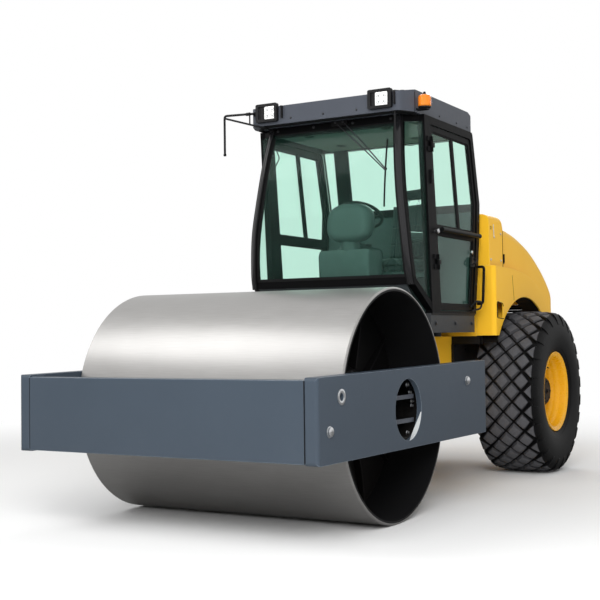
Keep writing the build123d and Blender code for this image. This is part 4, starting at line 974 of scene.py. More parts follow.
@dataclass
class Wheel(Fittings):
    """Wide tyre with diamond blocks on a deep-dished rim, with its hub cap."""

    side: Side
    centre_x: float = 0.89
    radius: float = 0.735
    groove: float = 0.024
    # Blocks stand in columns across the tyre, so many to a row round it, and fill a share of their cell.
    column: float = 0.085
    around: int = 25
    top_share: float = 0.65
    base_share: float = 0.92
    shoulder_x: float = 0.262
    # Each profile gives distance from the wheel's middle plane and radius.
    wall: tuple[Flat, ...] = (
        (0.236, 0.349), (0.246, 0.3655), (0.256, 0.374), (0.265, 0.386), (0.2705, 0.402), (0.2735, 0.4035),
        (0.2765, 0.41), (0.2835, 0.44), (0.291, 0.478), (0.2955, 0.515), (0.2972, 0.55), (0.2966, 0.585),
        (0.2935, 0.618), (0.288, 0.646), (0.279, 0.668), (0.268, 0.684), (0.252, 0.6925),
    )
    dish: tuple[Flat, ...] = (
        (0.2415, 0.345), (0.2475, 0.3605), (0.2535, 0.3635), (0.2595, 0.3605), (0.26, 0.3535), (0.2545, 0.349),
        (0.2525, 0.338), (0.249, 0.3235), (0.236, 0.3175), (0.2, 0.3155), (0.178, 0.309), (0.172, 0.3005),
        (0.148, 0.2985), (0.128, 0.2935), (0.121, 0.2845), (0.096, 0.2805), (0.078, 0.2755), (0.066, 0.263),
        (0.056, 0.243), (0.0555, 0.2), (0.0555, 0.139), (0.0525, 0.1325), (0.039, 0.1325),
    )
    rim_back: tuple[Flat, ...] = (
        (0.039, 0.245), (0.045, 0.292), (0.04, 0.311), (-0.236, 0.311), (-0.2525, 0.33), (-0.26, 0.3535),
        (-0.2535, 0.3635), (-0.2415, 0.345), (-0.2, 0.331), (0.2, 0.331),
    )

    def build(self) -> None:
        """Makes the tyre, the rim and the hub's fittings."""
        self.tyre()
        self.rim()
        self.hub_fittings()

    @property
    def body(self) -> str:
        """The body that the wheel's pieces ride on."""
        return f"wheel_{self.side.word}"

    def spot(self, across: float, radius: float, turn: float) -> Vector:
        """Gives a point on the wheel from its place across, its radius and its angle."""
        x = self.side.value * (self.centre_x + across)
        return Vector((x, WHEEL_AXLE.y - radius * math.cos(turn), WHEEL_AXLE.z + radius * math.sin(turn)))

    def crown(self, across: float) -> float:
        """Gives the tread's outer radius at a place across the tyre."""
        return self.radius - 0.019 * (abs(across) / 0.255) ** 2.4

    def turned(self, rows: Sequence[Flat], steps: int) -> Mould:
        """Turns a closed profile about the wheel's axle.

        Args:
            rows: the profile as distance from the middle plane and radius.
            steps: points round each ring.
        Returns:
            The mould that holds it.
        """
        mould = Mould()
        mould.skin([[self.spot(x, r, turn) for turn in turns(steps)] for x, r in rows], back=True)
        return mould

    def tyre(self) -> None:
        """Makes the carcass with its sidewall rings, and the blocks on it."""
        half = [*self.wall, *((x, self.crown(x) - self.groove) for x in (0.225, 0.17, 0.11, 0.055))]
        middle = [(0.0, self.radius - self.groove)]
        mould = self.turned([(-x, r) for x, r in half] + middle + half[::-1] + [(0.2, 0.345), (-0.2, 0.345)], 120)
        pitch = 2 * math.pi / self.around
        for i in range(self.around):
            for column in (-2, 0, 2):
                self.diamond(mould, column * self.column, pitch * (i + 2 / 3), pitch / 2)
            for column in (-1, 1):
                self.diamond(mould, column * self.column, pitch * (i + 1 / 6), pitch / 2)
            for hand in (-1, 1):
                self.shoulder_block(mould, hand, pitch * (i + 1 / 6), pitch / 2)
        mould.make(f"tread_tyre_{self.side.word}", self.rack.tyre, self.body, [f"tyre_{self.side.word}"], 30.0)

    def diamond(self, mould: Mould, across: float, turn: float, half_turn: float) -> None:
        """Adds one diamond block with sloped walls and eased edges.

        Args:
            mould: the tyre's mould.
            across: the block's place across the tyre.
            turn: its angle round the tyre.
            half_turn: half the angle from block to block.
        """
        top = self.top_share
        corners = ((-0.95, -0.06), (-0.95, 0.06), (-0.53, 0.53), (-0.06, 0.95), (0.06, 0.95), (0.53, 0.53))
        loops = []
        for share, lift in ((self.base_share, -0.003), (top + 0.05, 0.78), (top, 0.95), (top - 0.05, 1.0)):
            loop = []
            for u, v in corners + tuple((-a, -b) for a, b in corners):
                x = across + u * self.column * share
                loop.append(self.spot(x, self.crown(x) - self.groove * (1 - lift), turn + v * half_turn * share))
            loops.append(loop)
        mould.skin(loops)

    def shoulder_block(self, mould: Mould, hand: int, turn: float, half_turn: float) -> None:
        """Adds one cut-off block whose side runs down into the sidewall.

        Args:
            mould: the tyre's mould.
            hand: the tyre's outer edge as 1, its inner one as -1.
            turn: the block's angle round the tyre.
            half_turn: half the angle from block to block.
        """
        centre = 3 * self.column
        loops = []
        for share, lift in ((self.base_share, 0.0), (self.top_share + 0.05, 0.8), (self.top_share - 0.03, 1.0)):
            dx, dt = self.column * share, half_turn * share
            cut = self.shoulder_x - (0.0 if lift < 0.9 else 0.004)
            edge = [(centre - dx / 2, dt / 2), (centre, dt * 0.97), (cut, dt * (1 - (cut - centre) / dx))]
            loop = [(centre - dx, 0.0)] + edge + [(x, -v) for x, v in reversed(edge)]
            sunk = self.groove * (1 - lift)
            loops.append([self.spot(hand * x, self.crown(x) - sunk, turn + v) for x, v in loop])
        mould.skin(loops)
        # The buttress narrows as it runs down the sidewall.
        rungs = [(1.0, 0.2615, 0.7125), (0.94, 0.2735, 0.7), (0.84, 0.2868, 0.676)]
        buttress = []
        for share, x, radius in rungs + [(0.66, 0.2955, 0.645), (0.4, 0.2971, 0.612)]:
            wide = half_turn * self.top_share * share
            sunk_x, sunk_radius = x - 0.016, radius - 0.014
            loop = [(x, radius, -wide), (x, radius, wide), (sunk_x, sunk_radius, wide), (sunk_x, sunk_radius, -wide)]
            buttress.append([self.spot(hand * u, r, turn + v) for u, r, v in loop])
        mould.skin(buttress)

    def rim(self) -> None:
        """Makes the rolled flange, the stepped dish and the disc."""
        mould = self.turned(self.dish + self.rim_back, 96)
        mould.make(f"dished_rim_{self.side.word}", self.rack.rim, self.body, [f"rim_{self.side.word}"], 60.0)

    def hub_fittings(self) -> None:
        """Makes the wheel nuts, the hub cap's plugs and the valve."""
        nuts = Mould()
        for turn in turns(12):
            nuts.bolt(self.spot(0.0555, 0.188, turn), self.side.out, 0.0145, 0.02)
        nuts.make(f"wheel_nuts_{self.side.word}", self.rack.dull_steel, self.body)
        plugs = Mould()
        for turn in turns(8):
            plugs.bolt(self.spot(0.168, 0.088, turn), self.side.out, 0.008, 0.0095)
        plugs.bolt(self.spot(0.17, 0.0, 0.0), self.side.out, 0.017, 0.014)
        plugs.tube([self.spot(x, radius, 0.9) for x, radius in ((0.222, 0.3), (0.235, 0.285), (0.25, 0.276))], 0.005, 8)
        plugs.make(f"hub_plugs_{self.side.word}", self.rack.black, self.body)


# --- Cab ---


@dataclass
class CabTrim(Fittings):
    """Pillar covers, glass seals, wipers, latches, skirt bolts and the tubes of the mirror."""

    nodes: dict[str, Piece]
    # The A-pillar's outer front corner on the left, from its foot.
    pillar: tuple[tuple[float, float, float], ...] = (
        (0.735, -0.560, 1.66), (0.727, -0.592, 1.80), (0.705, -0.612, 2.10),
        (0.669, -0.590, 2.40), (0.632, -0.535, 2.74), (0.603, -0.462, 3.003),
    )
    pillar_wide: float = 0.048
    screen_setback: float = 0.026
    door_x: float = 0.751
    post_x: float = 0.76
    mirror_y: float = -0.654
    mirror_x: float = -0.926

    def build(self) -> None:
        """Makes every fitting of the cab's outside."""
        for side in Side:
            self.pillar_cover(side)
            self.screen_seal(side)
        self.screen_bands()
        self.pane_seals("door_glass", "door", "door_seal")
        self.pane_seals("cab_windows", "rear_frame", "window_seal")
        self.front_wiper()
        self.rear_post()
        self.side_wiper()
        self.door_furniture()
        self.skirt_fittings()
        self.mirror_link()

    def pillar_line(self, steps: int = 6) -> list[Vector]:
        """Gives the A-pillar's outer front corner as a smooth run of points.

        Args:
            steps: points from one of the pillar's keys to the next.
        Returns:
            The points, from the pillar's foot.
        """
        keys = [Vector(p) for p in self.pillar]
        ends = [keys[0] * 2 - keys[1]] + keys + [keys[-1] * 2 - keys[-2]]
        made = []
        for a, b, c, d in zip(ends, ends[1:], ends[2:], ends[3:]):
            bend, twist = 2 * a - 5 * b + 4 * c - d, 3 * b - a - 3 * c + d
            for t in (i / steps for i in range(steps)):
                made.append(0.5 * (2 * b + (c - a) * t + bend * t**2 + twist * t**3))
        return made + [keys[-1]]

    def pillar_cover(self, side: Side) -> None:
        """Makes the glossy cover down the front of one pillar, with a rubber bead at each edge.

        Args:
            side: the pillar's side.
        """
        line = self.pillar_line()
        crown = [(0.04, 0.002), (0.1, -0.005), (0.3, -0.0085), (0.5, -0.0095), (0.7, -0.0085), (0.9, -0.004)]
        loops = []
        for corner in line:
            loop = []
            for share, lift in crown + [(0.96, 0.003), (0.9, 0.016), (0.1, 0.016)]:
                x = corner.x - self.pillar_wide * (1 - share)
                loop.append(Vector((side.value * x, corner.y + 0.022 * share + lift, corner.z)))
            loops.append(loop)
        cover = Mould()
        cover.skin(loops)
        cover.make(f"pillar_cover_{side.word}", self.rack.gloss_black, sharp=50.0)
        beads = Mould()
        for dx, dy in ((-self.pillar_wide - 0.001, 0.003), (0.001, 0.026)):
            beads.tube([Vector((side.value * (p.x + dx), p.y + dy, p.z)) for p in line], 0.006, 8)
        beads.make(f"pillar_beads_{side.word}", self.rack.rubber)

    def screen_seal(self, side: Side) -> None:
        """Makes the black seal down one edge of the windscreen.

        Args:
            side: the edge's side.
        """
        loops = []
        for corner in self.pillar_line():
            if not 1.722 < corner.z < 2.948:
                continue
            x1 = corner.x - self.pillar_wide
            x0 = x1 - 0.024
            y = corner.y + self.screen_setback
            loop = [(x0, y - 0.002), (x0 + 0.006, y - 0.006), (x1, y - 0.008), (x1, y + 0.014), (x0, y + 0.012)]
            loops.append([Vector((side.value * u, v, corner.z)) for u, v in loop])
        seal = Mould()
        seal.skin(loops)
        seal.make(f"screen_seal_{side.word}", self.rack.rubber)

    def screen_bands(self) -> None:
        """Makes the black bands across the windscreen's head and foot, and the header's bolts."""
        bands = Mould()
        head_y, foot_y = -0.462 + self.screen_setback, -0.578 + self.screen_setback
        bands.block((-0.555, head_y - 0.02, 2.918), (0.555, head_y + 0.012, 2.952))
        bands.block((-0.68, foot_y - 0.012, 1.718), (0.68, foot_y + 0.014, 1.742))
        bands.make("screen_bands", self.rack.rubber)
        bolts = Mould()
        bolts.screws([(x, -0.462, 2.98) for x in (-0.52, -0.18, 0.18, 0.52)], FORWARD, 0.008, 0.009)
        bolts.make("header_bolts", self.rack.dull_steel)

    def pane_seals(self, node: str, body: str, name: str) -> None:
        """Makes a rubber frame round each flat side pane of a node, inside and outside.

        Args:
            node: the panes' node.
            body: the body that they ride on.
            name: the seals' piece.
        """
        seals = Mould()
        for outline in pane_outlines(self.nodes[node]):
            way = Vector((math.copysign(1.0, outline[0].x), 0, 0))
            base = inset_outline(outline, -0.004, way)
            seals.frame_ring([p - way * 0.001 for p in base], 0.017, way, 0.0065)
            seals.frame_ring([p - way * 0.0055 for p in base], 0.015, -way, 0.006)
        seals.make(name, self.rack.rubber, body)

    def screen_y(self, z: float) -> float:
        """Finds the windscreen's outer face.

        Args:
            z: a height on the windscreen.
        Returns:
            The face's Y at that height.
        """
        line = self.pillar_line()
        for low, high in zip(line, line[1:]):
            if low.z <= z <= high.z:
                return low.y + (high.y - low.y) * (z - low.z) / (high.z - low.z) + self.screen_setback
        return line[-1].y + self.screen_setback

    def front_wiper(self) -> None:
        """Makes the windscreen's motor cover, its two arms and its blade."""
        arms = Mould()
        pivot = Vector((0.515, self.screen_y(2.568) - 0.03, 2.568))
        tops = [(dx, Vector((0.034 + dx, -0.478, 2.992))) for dx in (0.0, 0.07)]
        for dx, top in tops:
            middle = Vector((0.28 + dx * 0.6, self.screen_y(2.78) - 0.042, 2.78))
            arms.tube(rounded([top, middle, pivot - Vector((0.01 - dx * 0.2, 0, 0))], 0.08), 0.0052, 8)
        arms.turned([(-0.012, 0.012), (0.006, 0.012), (0.009, 0.008)], pivot, FORWARD, 20)
        for _, top in tops:
            arms.turned([(0.0, 0.011), (0.01, 0.011), (0.014, 0.006)], top, FORWARD, 20)
        arms.make("screen_wiper_arms", self.rack.dull_steel)
        blade = Mould()
        foot = 2.27
        heights = [foot + 0.06 * i for i in range(10)]
        carrier = [Vector((0.513 - 0.006 * (z - foot), self.screen_y(z) - 0.016, z)) for z in heights]
        blade.tube(carrier, 0.0065, 8)
        lip = ((-0.003, 0.0), (0.003, 0.0), (0.001, 0.0155), (-0.001, 0.0155))
        blade.skin([[p + Vector((dx, dy, 0)) for dx, dy in lip] for p in carrier])
        blade.block((0.0, -0.486, 2.962), (0.14, -0.462, 3.003))
        blade.make("screen_wiper_blade", self.rack.rubber)

    def rear_post(self) -> None:
        """Makes the thick post at the right end of the rear window."""
        ring = [(-0.07, -0.004), (-0.06, -0.016), (0.06, -0.016), (0.07, -0.004), (0.07, 0.02), (-0.07, 0.02)]
        post = Mould()
        post.skin([[Vector((u - 0.515, y + v, z)) for u, v in ring] for y, z in ((0.724, 2.402), (0.634, 2.948))])
        post.make("rear_window_post", self.rack.charcoal)

    def side_wiper(self) -> None:
        """Makes the wiper of the right window, folded at its elbow."""
        x = -0.752
        arm = Mould()
        arm.tube(rounded([(x, -0.174, 2.955), (x, -0.059, 2.826), (x, -0.27, 2.585)], 0.03), 0.0055, 8)
        arm.turned([(0.0, 0.012), (0.012, 0.012), (0.016, 0.006)], (x + 0.004, -0.174, 2.955), (-1, 0, 0), 20)
        arm.make("side_wiper_arm", self.rack.moulding)
        blade = Mould()
        blade.tube([(x + 0.004, -0.235, 2.80), (x + 0.004, -0.305, 2.36)], 0.0065, 8)
        blade.make("side_wiper_blade", self.rack.rubber)

    def door_furniture(self) -> None:
        """Makes the pillar's knob, the door's latch with a keyhole, and the buffer and screws on the pillar."""
        x, post = self.door_x, self.post_x
        steel = Mould()
        knob = [(0.0, 0.011), (0.028, 0.011), (0.032, 0.018), (0.044, 0.019), (0.05, 0.014), (0.052, 0.002)]
        steel.turned(knob, (x, -0.194, 2.092), LEFTWARD, 28)
        steel.make("pillar_knob", self.rack.zinc)
        keyhole = Mould()
        keyhole.turned([(0.0, 0.016), (0.008, 0.016), (0.01, 0.012), (0.012, 0.003)], (x, 0.62, 1.97), LEFTWARD, 28)
        keyhole.make("door_keyhole", self.rack.zinc, "door")
        latch = Mould()
        latch.prism([(x, 0.585, 1.845), (x, 0.655, 1.845), (x, 0.645, 1.93), (x, 0.595, 1.93)], (0.014, 0, 0))
        lever = [(0.764, 0.6, 1.86), (0.79, 0.6, 1.875), (0.79, 0.64, 1.905), (0.764, 0.64, 1.915)]
        latch.tube(rounded(lever, 0.012), 0.007, 8)
        latch.make("door_latch", self.rack.moulding, "door")
        plate = Mould()
        outline = ((-0.252, 2.47), (-0.224, 2.47), (-0.224, 2.58), (-0.252, 2.58))
        plate.prism([(post, y, z) for y, z in outline], (0.016, 0, 0))
        plate.screws([(0.775, -0.238, z) for z in (2.492, 2.558)], LEFTWARD, 0.006, 0.006)
        plate.make("door_buffer", self.rack.moulding)
        screws = Mould()
        screws.screws([(post, 0.691, 1.7), (post, 0.765, 2.25), (post, 0.666, 2.85)], LEFTWARD, 0.007, 0.005)
        screws.make("pillar_screws", self.rack.dull_steel)

    def skirt_fittings(self) -> None:
        """Makes the floor pan's bolts and its folded lip."""
        bolts = Mould()
        for side in Side:
            bolts.screws([(side.value * 0.754, y, 1.362) for y in (-0.176, 0.23, 0.59)], side.out, 0.013, 0.012)
        bolts.make("skirt_bolts", self.rack.dull_steel)
        lip = Mould()
        for side in Side:
            x0, x1 = side.span(0.752, 0.762)
            lip.block((x0, -0.262, 1.428), (x1, 0.652, 1.442))
        lip.make("skirt_lips", self.rack.black)

    def mirror_link(self) -> None:
        """Makes the mirror's upper tube, the strut that braces it, their link and their bolts."""
        x, y = self.mirror_x, self.mirror_y
        tubes = Mould()
        upper = [(-0.64, -0.6255, 3.109), (-0.64, y, 3.109), (x, y, 3.12), (x, y, 2.785)]
        tubes.tube(rounded(upper, 0.024), 0.0095, 12)
        strut = [(-0.56, -0.4615, 2.985), (-0.56, -0.60, 2.99), (-0.60, y, 3.0), (-0.90, y, 3.092), (x, y, 3.102)]
        tubes.tube(rounded(strut, 0.024), 0.008, 12)
        tubes.tube([(-0.676, y, 3.022), (-0.676, y, 3.11)], 0.006, 10)
        tubes.turned([(-0.014, 0.0125), (0.0, 0.0125), (0.004, 0.008)], (x, y, 2.786), (0, 0, -1), 20)
        tubes.turned([(-0.018, 0.0135), (0.018, 0.0135)], (-0.69, y, 3.1108), LEFTWARD, 20)
        tubes.turned([(0.0, 0.02), (0.005, 0.02), (0.007, 0.014)], (-0.64, -0.6262, 3.109), FORWARD, 20)
        tubes.make("mirror_bracket", self.rack.moulding, stands_for=["mirror_arm"])


@dataclass
class RoofFittings(Fittings):
    """Lamp bezels and lenses, the ribbed beacon, roof seams and the lining under the roof."""

    lamp_y: float = -0.66
    lamp_z: float = 3.1
    lens_half: float = 0.055
    # The middle of each work lamp's lens across the roof.
    lamps: Flat = (0.5325, -0.4785)
    beacon_at: Flat = (0.799, -0.435)
    beacon_radius: float = 0.052
    corner_out: float = 0.71
    roof_under: float = 3.0

    def build(self) -> None:
        """Makes every fitting of the roof."""
        for number, middle in enumerate(self.lamps, 1):
            self.lamp(number, middle)
        self.beacon()
        self.skin_details()
        self.headlining()

    def lamp(self, number: int, middle: float) -> None:
        """Makes one work lamp's bezel, its square lens and the bright cups in it.

        Args:
            number: the lamp's number.
            middle: the X of its lens.
        """
        y, z, half = self.lamp_y, self.lamp_z, self.lens_half
        square = [(-1, -1), (1, -1), (1, 1), (-1, 1)]
        outline = [Vector((middle + u * half, y + 0.0095, z + v * half)) for u, v in square]
        corners = []
        for i, corner in enumerate(outline):
            before, after = (corner.lerp(outline[j % 4], 0.1) for j in (i - 1, i + 1))
            corners += [before, corner.lerp(before.lerp(after, 0.5), 0.55), after]
        face = [p + Vector((0, -0.006, 0)) for p in corners]
        crown = inset_outline([p + Vector((0, -0.009, 0)) for p in corners], 0.008, Vector(FORWARD))
        lens = Mould()
        lens.skin([corners, face, crown])
        lens.make(f"lamp_lens_{number}", self.rack.clear_lens)
        cups = Mould()
        cup = [(-0.001, 0.019), (0.0008, 0.0185), (0.0012, 0.016), (0.0002, 0.012), (0.0012, 0.005)]
        for u in (-0.023, 0.023):
            for v in (-0.023, 0.023):
                cups.turned(cup, (middle + u, y + 0.0012, z + v), FORWARD, 18)
        cups.make(f"lamp_cups_{number}", self.rack.ground_rod)
        bezel = Mould()
        bezel.frame_ring(inset_outline(face, -0.009, Vector(FORWARD)), 0.011, FORWARD, 0.0058)
        for side in Side:
            x = middle - side.value * 0.1
            ear = ((0.004, -0.05), (0.004, 0.05), (0.032, 0.05), (0.032, -0.05))
            bezel.prism([(x, y + v, z + w) for v, w in ear], (-side.value * 0.008, 0, 0))
        bezel.make(f"lamp_bezel_{number}", self.rack.moulding)

    def beacon(self) -> None:
        """Makes the beacon's ribbed dome, its base and its cap."""
        x, y = self.beacon_at
        dome = Mould()
        rows = [(0.0, 0.05), (0.004, 0.052)]
        for i in range(8):
            base = 0.006 + i * 0.0095
            radius = self.beacon_radius - (0.0 if i < 7 else 0.003)
            rows += [(base, radius - 0.0025), (base + 0.003, radius), (base + 0.006, radius)]
            rows += [(base + 0.009, radius - 0.0025)]
        rows += [(0.086, 0.042), (0.091, 0.034), (0.094, 0.018), (0.095, 0.001)]
        dome.turned(rows, (x, y, 3.046), UP, 40)
        dome.make("ribbed_beacon", self.rack.amber, stands_for=["beacon_lens"], sharp=60.0)
        ends = Mould()
        cap = [(0.0, 0.016), (0.006, 0.016), (0.008, 0.01), (0.02, 0.01), (0.023, 0.006)]
        ends.turned(cap, (x, y, 3.139), UP, 20)
        ends.turned([(0.0, 0.047), (0.01, 0.05), (0.02, 0.05), (0.024, 0.048)], (x, y, 3.0335), UP, 40)
        ends.make("beacon_base", self.rack.moulding)

    def skin_details(self) -> None:
        """Makes the roof's pressed ribs, its seal, the guard at its front corner and the fascia's screws."""
        ribs = Mould()
        foot = 3.1785
        for x in (-0.4 + 0.2 * i for i in range(5)):
            loops = []
            for y, z in ((-0.42, 3.1795), (-0.40, 3.184), (0.5, 3.184), (0.52, 3.1795)):
                rise = ((-0.028, foot), (-0.018, z), (0.018, z), (0.028, foot))
                loops.append([Vector((x + u, y, high)) for u, high in rise])
            ribs.skin(loops, around=False)
        ribs.make("roof_ribs", self.rack.roof)
        side_x, z = self.corner_out, self.roof_under
        rail = Mould()
        left = [(0.585, -0.6), (side_x, -0.46), (side_x, 0.715)]
        outline = [(-0.585, -0.6), *left, (-side_x, 0.715), (-side_x, -0.46)]
        rail.frame_ring([Vector((x, y, z + 0.0055)) for x, y in outline], 0.03, (0, 0, -1), 0.012)
        rail.make("roof_seal", self.rack.rubber)
        corner = Mould()
        section = [(0.606, -0.611), (0.628, -0.618), (0.737, -0.478), (0.728, -0.456)]
        corner.skin([[Vector((x, y, high)) for x, y in section] for high in (z, 3.165)])
        corner.tube([(0.622, -0.607, 3.1), (0.622, -0.603, 2.75)], 0.007, 10)
        corner.make("roof_corner_guard", self.rack.moulding)
        screws = Mould()
        screw_z = 3.045
        for side in Side:
            spots = [(side.value * 0.737, y, screw_z) for y in (-0.36, 0.0, 0.36, 0.6)]
            screws.screws(spots, side.out, 0.006, 0.006)
        screws.screws([(x, -0.626, screw_z) for x in (-0.3, 0.0, 0.3)], FORWARD, 0.006, 0.006)
        screws.make("roof_screws", self.rack.dull_steel)

    def headlining(self) -> None:
        """Makes the pale lining under the roof, with its vents."""
        lining = Mould()
        lining.block((-0.61, -0.36, 2.956), (0.61, 0.60, 2.966))
        lining.block((-0.52, -0.395, 2.9565), (0.52, -0.358, 2.966))
        lining.make("headlining", self.rack.lining)
        vents = Mould()
        for x in (-0.36, 0.36):
            for y in (-0.22, 0.36):
                ring = [(0.0, 0.045), (0.006, 0.043), (0.008, 0.032), (0.004, 0.028)]
                vents.turned(ring, (x, y, 2.957), (0, 0, -1), 28)
        vents.make("ceiling_vents", self.rack.moulding)


@dataclass
class OperatorStation(Fittings):
    """Padded seat, bellows, steering tower, switches, gauges, pedals and mat inside the cab."""

    seat_at: Flat = (0.215, 0.2)
    # The seat is swivelled this many degrees about an upright axis.
    seat_turn: float = -22.0
    floor_z: float = 1.4405
    channel_depth: float = 0.007
    channel_half: float = 0.006
    # A pad is remeshed at this size, simulated for so many frames, and may swell no further than the cap.
    voxel: float = 0.006
    frames: int = 20
    cap: float = 0.014

    def build(self) -> None:
        """Makes the seat and the controls."""
        self.cushion()
        self.backrest()
        self.bellows()
        self.steering_tower()
        self.controls()
        self.mat_and_pedals()

    def placed(self, point: Point) -> Vector:
        """Turns a point about the seat's swivel into its place in the cab.

        Args:
            point: the point in the seat's own axes.
        Returns:
            Its place.
        """
        a = math.radians(self.seat_turn)
        (x, y, z), (seat_x, seat_y) = point, self.seat_at
        return Vector((seat_x + x * math.cos(a) - y * math.sin(a), seat_y + x * math.sin(a) + y * math.cos(a), z))

    def seam(self, x: float, y: float) -> tuple[Vector, Vector]:
        """Gives the plane of an upright sewn line in the seat.

        Args:
            x: how far the line lies to the seat's side, or 0 for a line from side to side.
            y: how far it lies ahead or behind, or 0 for a line from front to back.
        Returns:
            A point on the plane and its normal.
        """
        middle = self.placed((0, 0, 0))
        return self.placed((x, y, 0)), (self.placed((bool(x), bool(y), 0)) - middle).normalized()

    def swell(self, pad: Piece) -> None:
        """Blows a pad up as cloth round foam, then applies the result.

        Args:
            pad: the closed piece to swell.
        """
        remesh = pad.modifiers.new("even_faces", "REMESH")
        remesh.mode = "VOXEL"
        remesh.voxel_size = self.voxel
        self.apply(pad)
        start = [v.co.copy() for v in pad.data.vertices]
        settings = pad.modifiers.new("foam", "CLOTH").settings
        settings.quality = 4
        settings.use_pressure = True
        settings.uniform_pressure_force = 4.0
        settings.effector_weights.gravity = 0.0
        for number in range(1, self.frames + 1):
            bpy.context.scene.frame_set(number)
        self.apply(pad)
        for vert, before in zip(pad.data.vertices, start):
            moved = vert.co - before
            if moved.length > self.cap:
                vert.co = before + moved.normalized() * self.cap
        bpy.context.scene.frame_set(1)
        pad.modifiers.new("settle", "SMOOTH").iterations = 3
        finer = pad.modifiers.new("finer", "SUBSURF")
        finer.levels = finer.render_levels = 1
        self.apply(pad)
        pad.data.shade_smooth()

    def apply(self, pad: Piece) -> None:
        """Turns a pad's modifiers into its mesh.

        Args:
            pad: the pad.
        """
        mesh = bpy.data.meshes.new_from_object(pad.evaluated_get(bpy.context.evaluated_depsgraph_get()))
        pad.modifiers.clear()
        pad.data = mesh

    def channels(self, pad: Piece, lines: Sequence[tuple[Vector, Vector]]) -> None:
        """Presses sewn channels into a pad.

        Args:
            pad: the pad.
            lines: a point on each channel's plane and the plane's normal.
        """
        normals = [v.normal.copy() for v in pad.data.vertices]
        for vert, normal in zip(pad.data.vertices, normals):
            press = sum(math.exp(-(((vert.co - at).dot(across) / self.channel_half) ** 2)) for at, across in lines)
            vert.co -= normal * self.channel_depth * min(press, 1.0)

    def cushion(self) -> None:
        """Makes the seat cushion with its bolsters and piping."""
        corners = [(-0.235, -0.2), (-0.2, -0.245), (0.2, -0.245), (0.235, -0.2)]
        corners += [(0.235, 0.14), (0.2, 0.168), (-0.2, 0.168), (-0.235, 0.14)]
        slab = Mould()
        slab.skin([[self.placed((x, y, z)) for x, y in corners] for z in (1.7995, 1.89)])
        pad = slab.make("seat_cushion_pad", self.rack.cloth, stands_for=["seat_cushion"])
        self.swell(pad)
        self.channels(pad, [self.seam(-0.13, 0), self.seam(0.13, 0), self.seam(0, -0.13)])
        piping = Mould()
        ring = [self.placed((x * 1.035, y * 1.03, 1.846)) for x, y in corners]
        piping.tube(ring + [ring[0]], 0.0045, 8)
        piping.make("cushion_piping", self.rack.moulding)

    def backrest(self) -> None:
        """Makes the backrest and the headrest on its posts."""
        side = [(0.125, 1.915), (0.178, 1.915), (0.262, 2.375), (0.19, 2.395)]
        back = Mould()
        back.skin([[self.placed((x, y, z)) for y, z in side] for x in (-0.21, -0.1, 0.0, 0.1, 0.21)])
        pad = back.make("seat_back_pad", self.rack.cloth, stands_for=["seat_back"])
        self.swell(pad)
        level = [(Vector((0, 0, z)), UP) for z in (2.05, 2.2)]
        self.channels(pad, [self.seam(-0.12, 0), self.seam(0.12, 0)] + level)
        rest = Mould()
        profile = [(0.212, 2.435), (0.276, 2.435), (0.29, 2.51), (0.228, 2.52)]
        rest.skin([[self.placed((x, y, z)) for y, z in profile] for x in (-0.12, 0.0, 0.12)])
        head = rest.make("headrest_pad", self.rack.cloth)
        self.swell(head)
        posts = Mould()
        for x in (-0.065, 0.065):
            posts.tube([self.placed((x, 0.226, 2.36)), self.placed((x, 0.25, 2.45))], 0.007, 10)
        posts.make("headrest_posts", self.rack.ground_rod)

    def bellows(self) -> None:
        """Makes the pleated bellows round the suspension and the boot of the lever."""
        pleats = Mould()
        rows = [(lift + i * 0.024, radius) for i in range(9) for lift, radius in ((0.012, 0.150), (0.024, 0.136))]
        pleats.turned(rows, (*self.seat_at, 1.522), UP, 36)
        boot = [(0.0, 0.042), (0.01, 0.04), (0.015, 0.03), (0.025, 0.032), (0.03, 0.023), (0.04, 0.025), (0.046, 0.014)]
        pleats.turned(boot, self.placed((-0.316, -0.25, 2.04)), UP, 28)
        pleats.make("seat_bellows", self.rack.rubber)

    def steering_tower(self) -> None:
        """Makes the plinth, the rounded instrument pod on it and the wheel's stem."""
        foot, middle_x, middle_y = self.floor_z, 0.055, -0.285
        side = [(-0.27, foot), (-0.27, 1.50), (-0.40, 1.62), (-0.42, 1.93)]
        side += [(-0.40, 1.965), (-0.20, 1.965), (-0.17, 1.93), (-0.155, foot)]
        loops = []
        for x, k in ((-0.232, 0.93), (-0.225, 0.985), (-0.2, 1.0), (0.2, 1.0), (0.225, 0.985), (0.232, 0.93)):
            shrunk = [(middle_y + (y - middle_y) * k, foot + (z - foot) * (0.5 + k / 2)) for y, z in side]
            loops.append([Vector((middle_x + x, y, z)) for y, z in shrunk])
        tower = Mould()
        tower.skin(loops)
        tower.make("steering_plinth", self.rack.trim)
        pod = Mould()
        loops = []
        swell = [(-0.43, 0.3), (-0.428, 0.62), (-0.42, 0.8), (-0.405, 0.92), (-0.385, 0.98), (-0.35, 1.0)]
        for y, k in swell + [(-0.305, 0.99), (-0.29, 0.95), (-0.284, 0.88)]:
            loop = []
            for turn in turns(44):
                # A power below one squares a circle's corners.
                c, n = (math.copysign(abs(v) ** 0.72, v) for v in (math.cos(turn), math.sin(turn)))
                z = (0.17 if n > 0 else 0.15) * k * n
                loop.append(Vector((0.09 + 0.2 * k * c, y + z * 0.12, 2.175 + z)))
            loops.append(loop)
        pod.skin(loops)
        head, lean = Vector((0.07, -0.12, 2.27)), Vector((0.0, 0.5, 0.866))
        pod.tube([head - lean * 0.2, head - lean * 0.047], 0.028, 20)
        pod.turned([(0.0, 0.045), (0.05, 0.041), (0.06, 0.03)], head - lean * 0.13, lean, 24)
        pod.tube([(0.08, -0.33, 1.95), (0.08, -0.34, 2.06)], 0.075, 24)
        pod.make("instrument_pod", self.rack.trim, stands_for=["steering_column"], sharp=55.0)

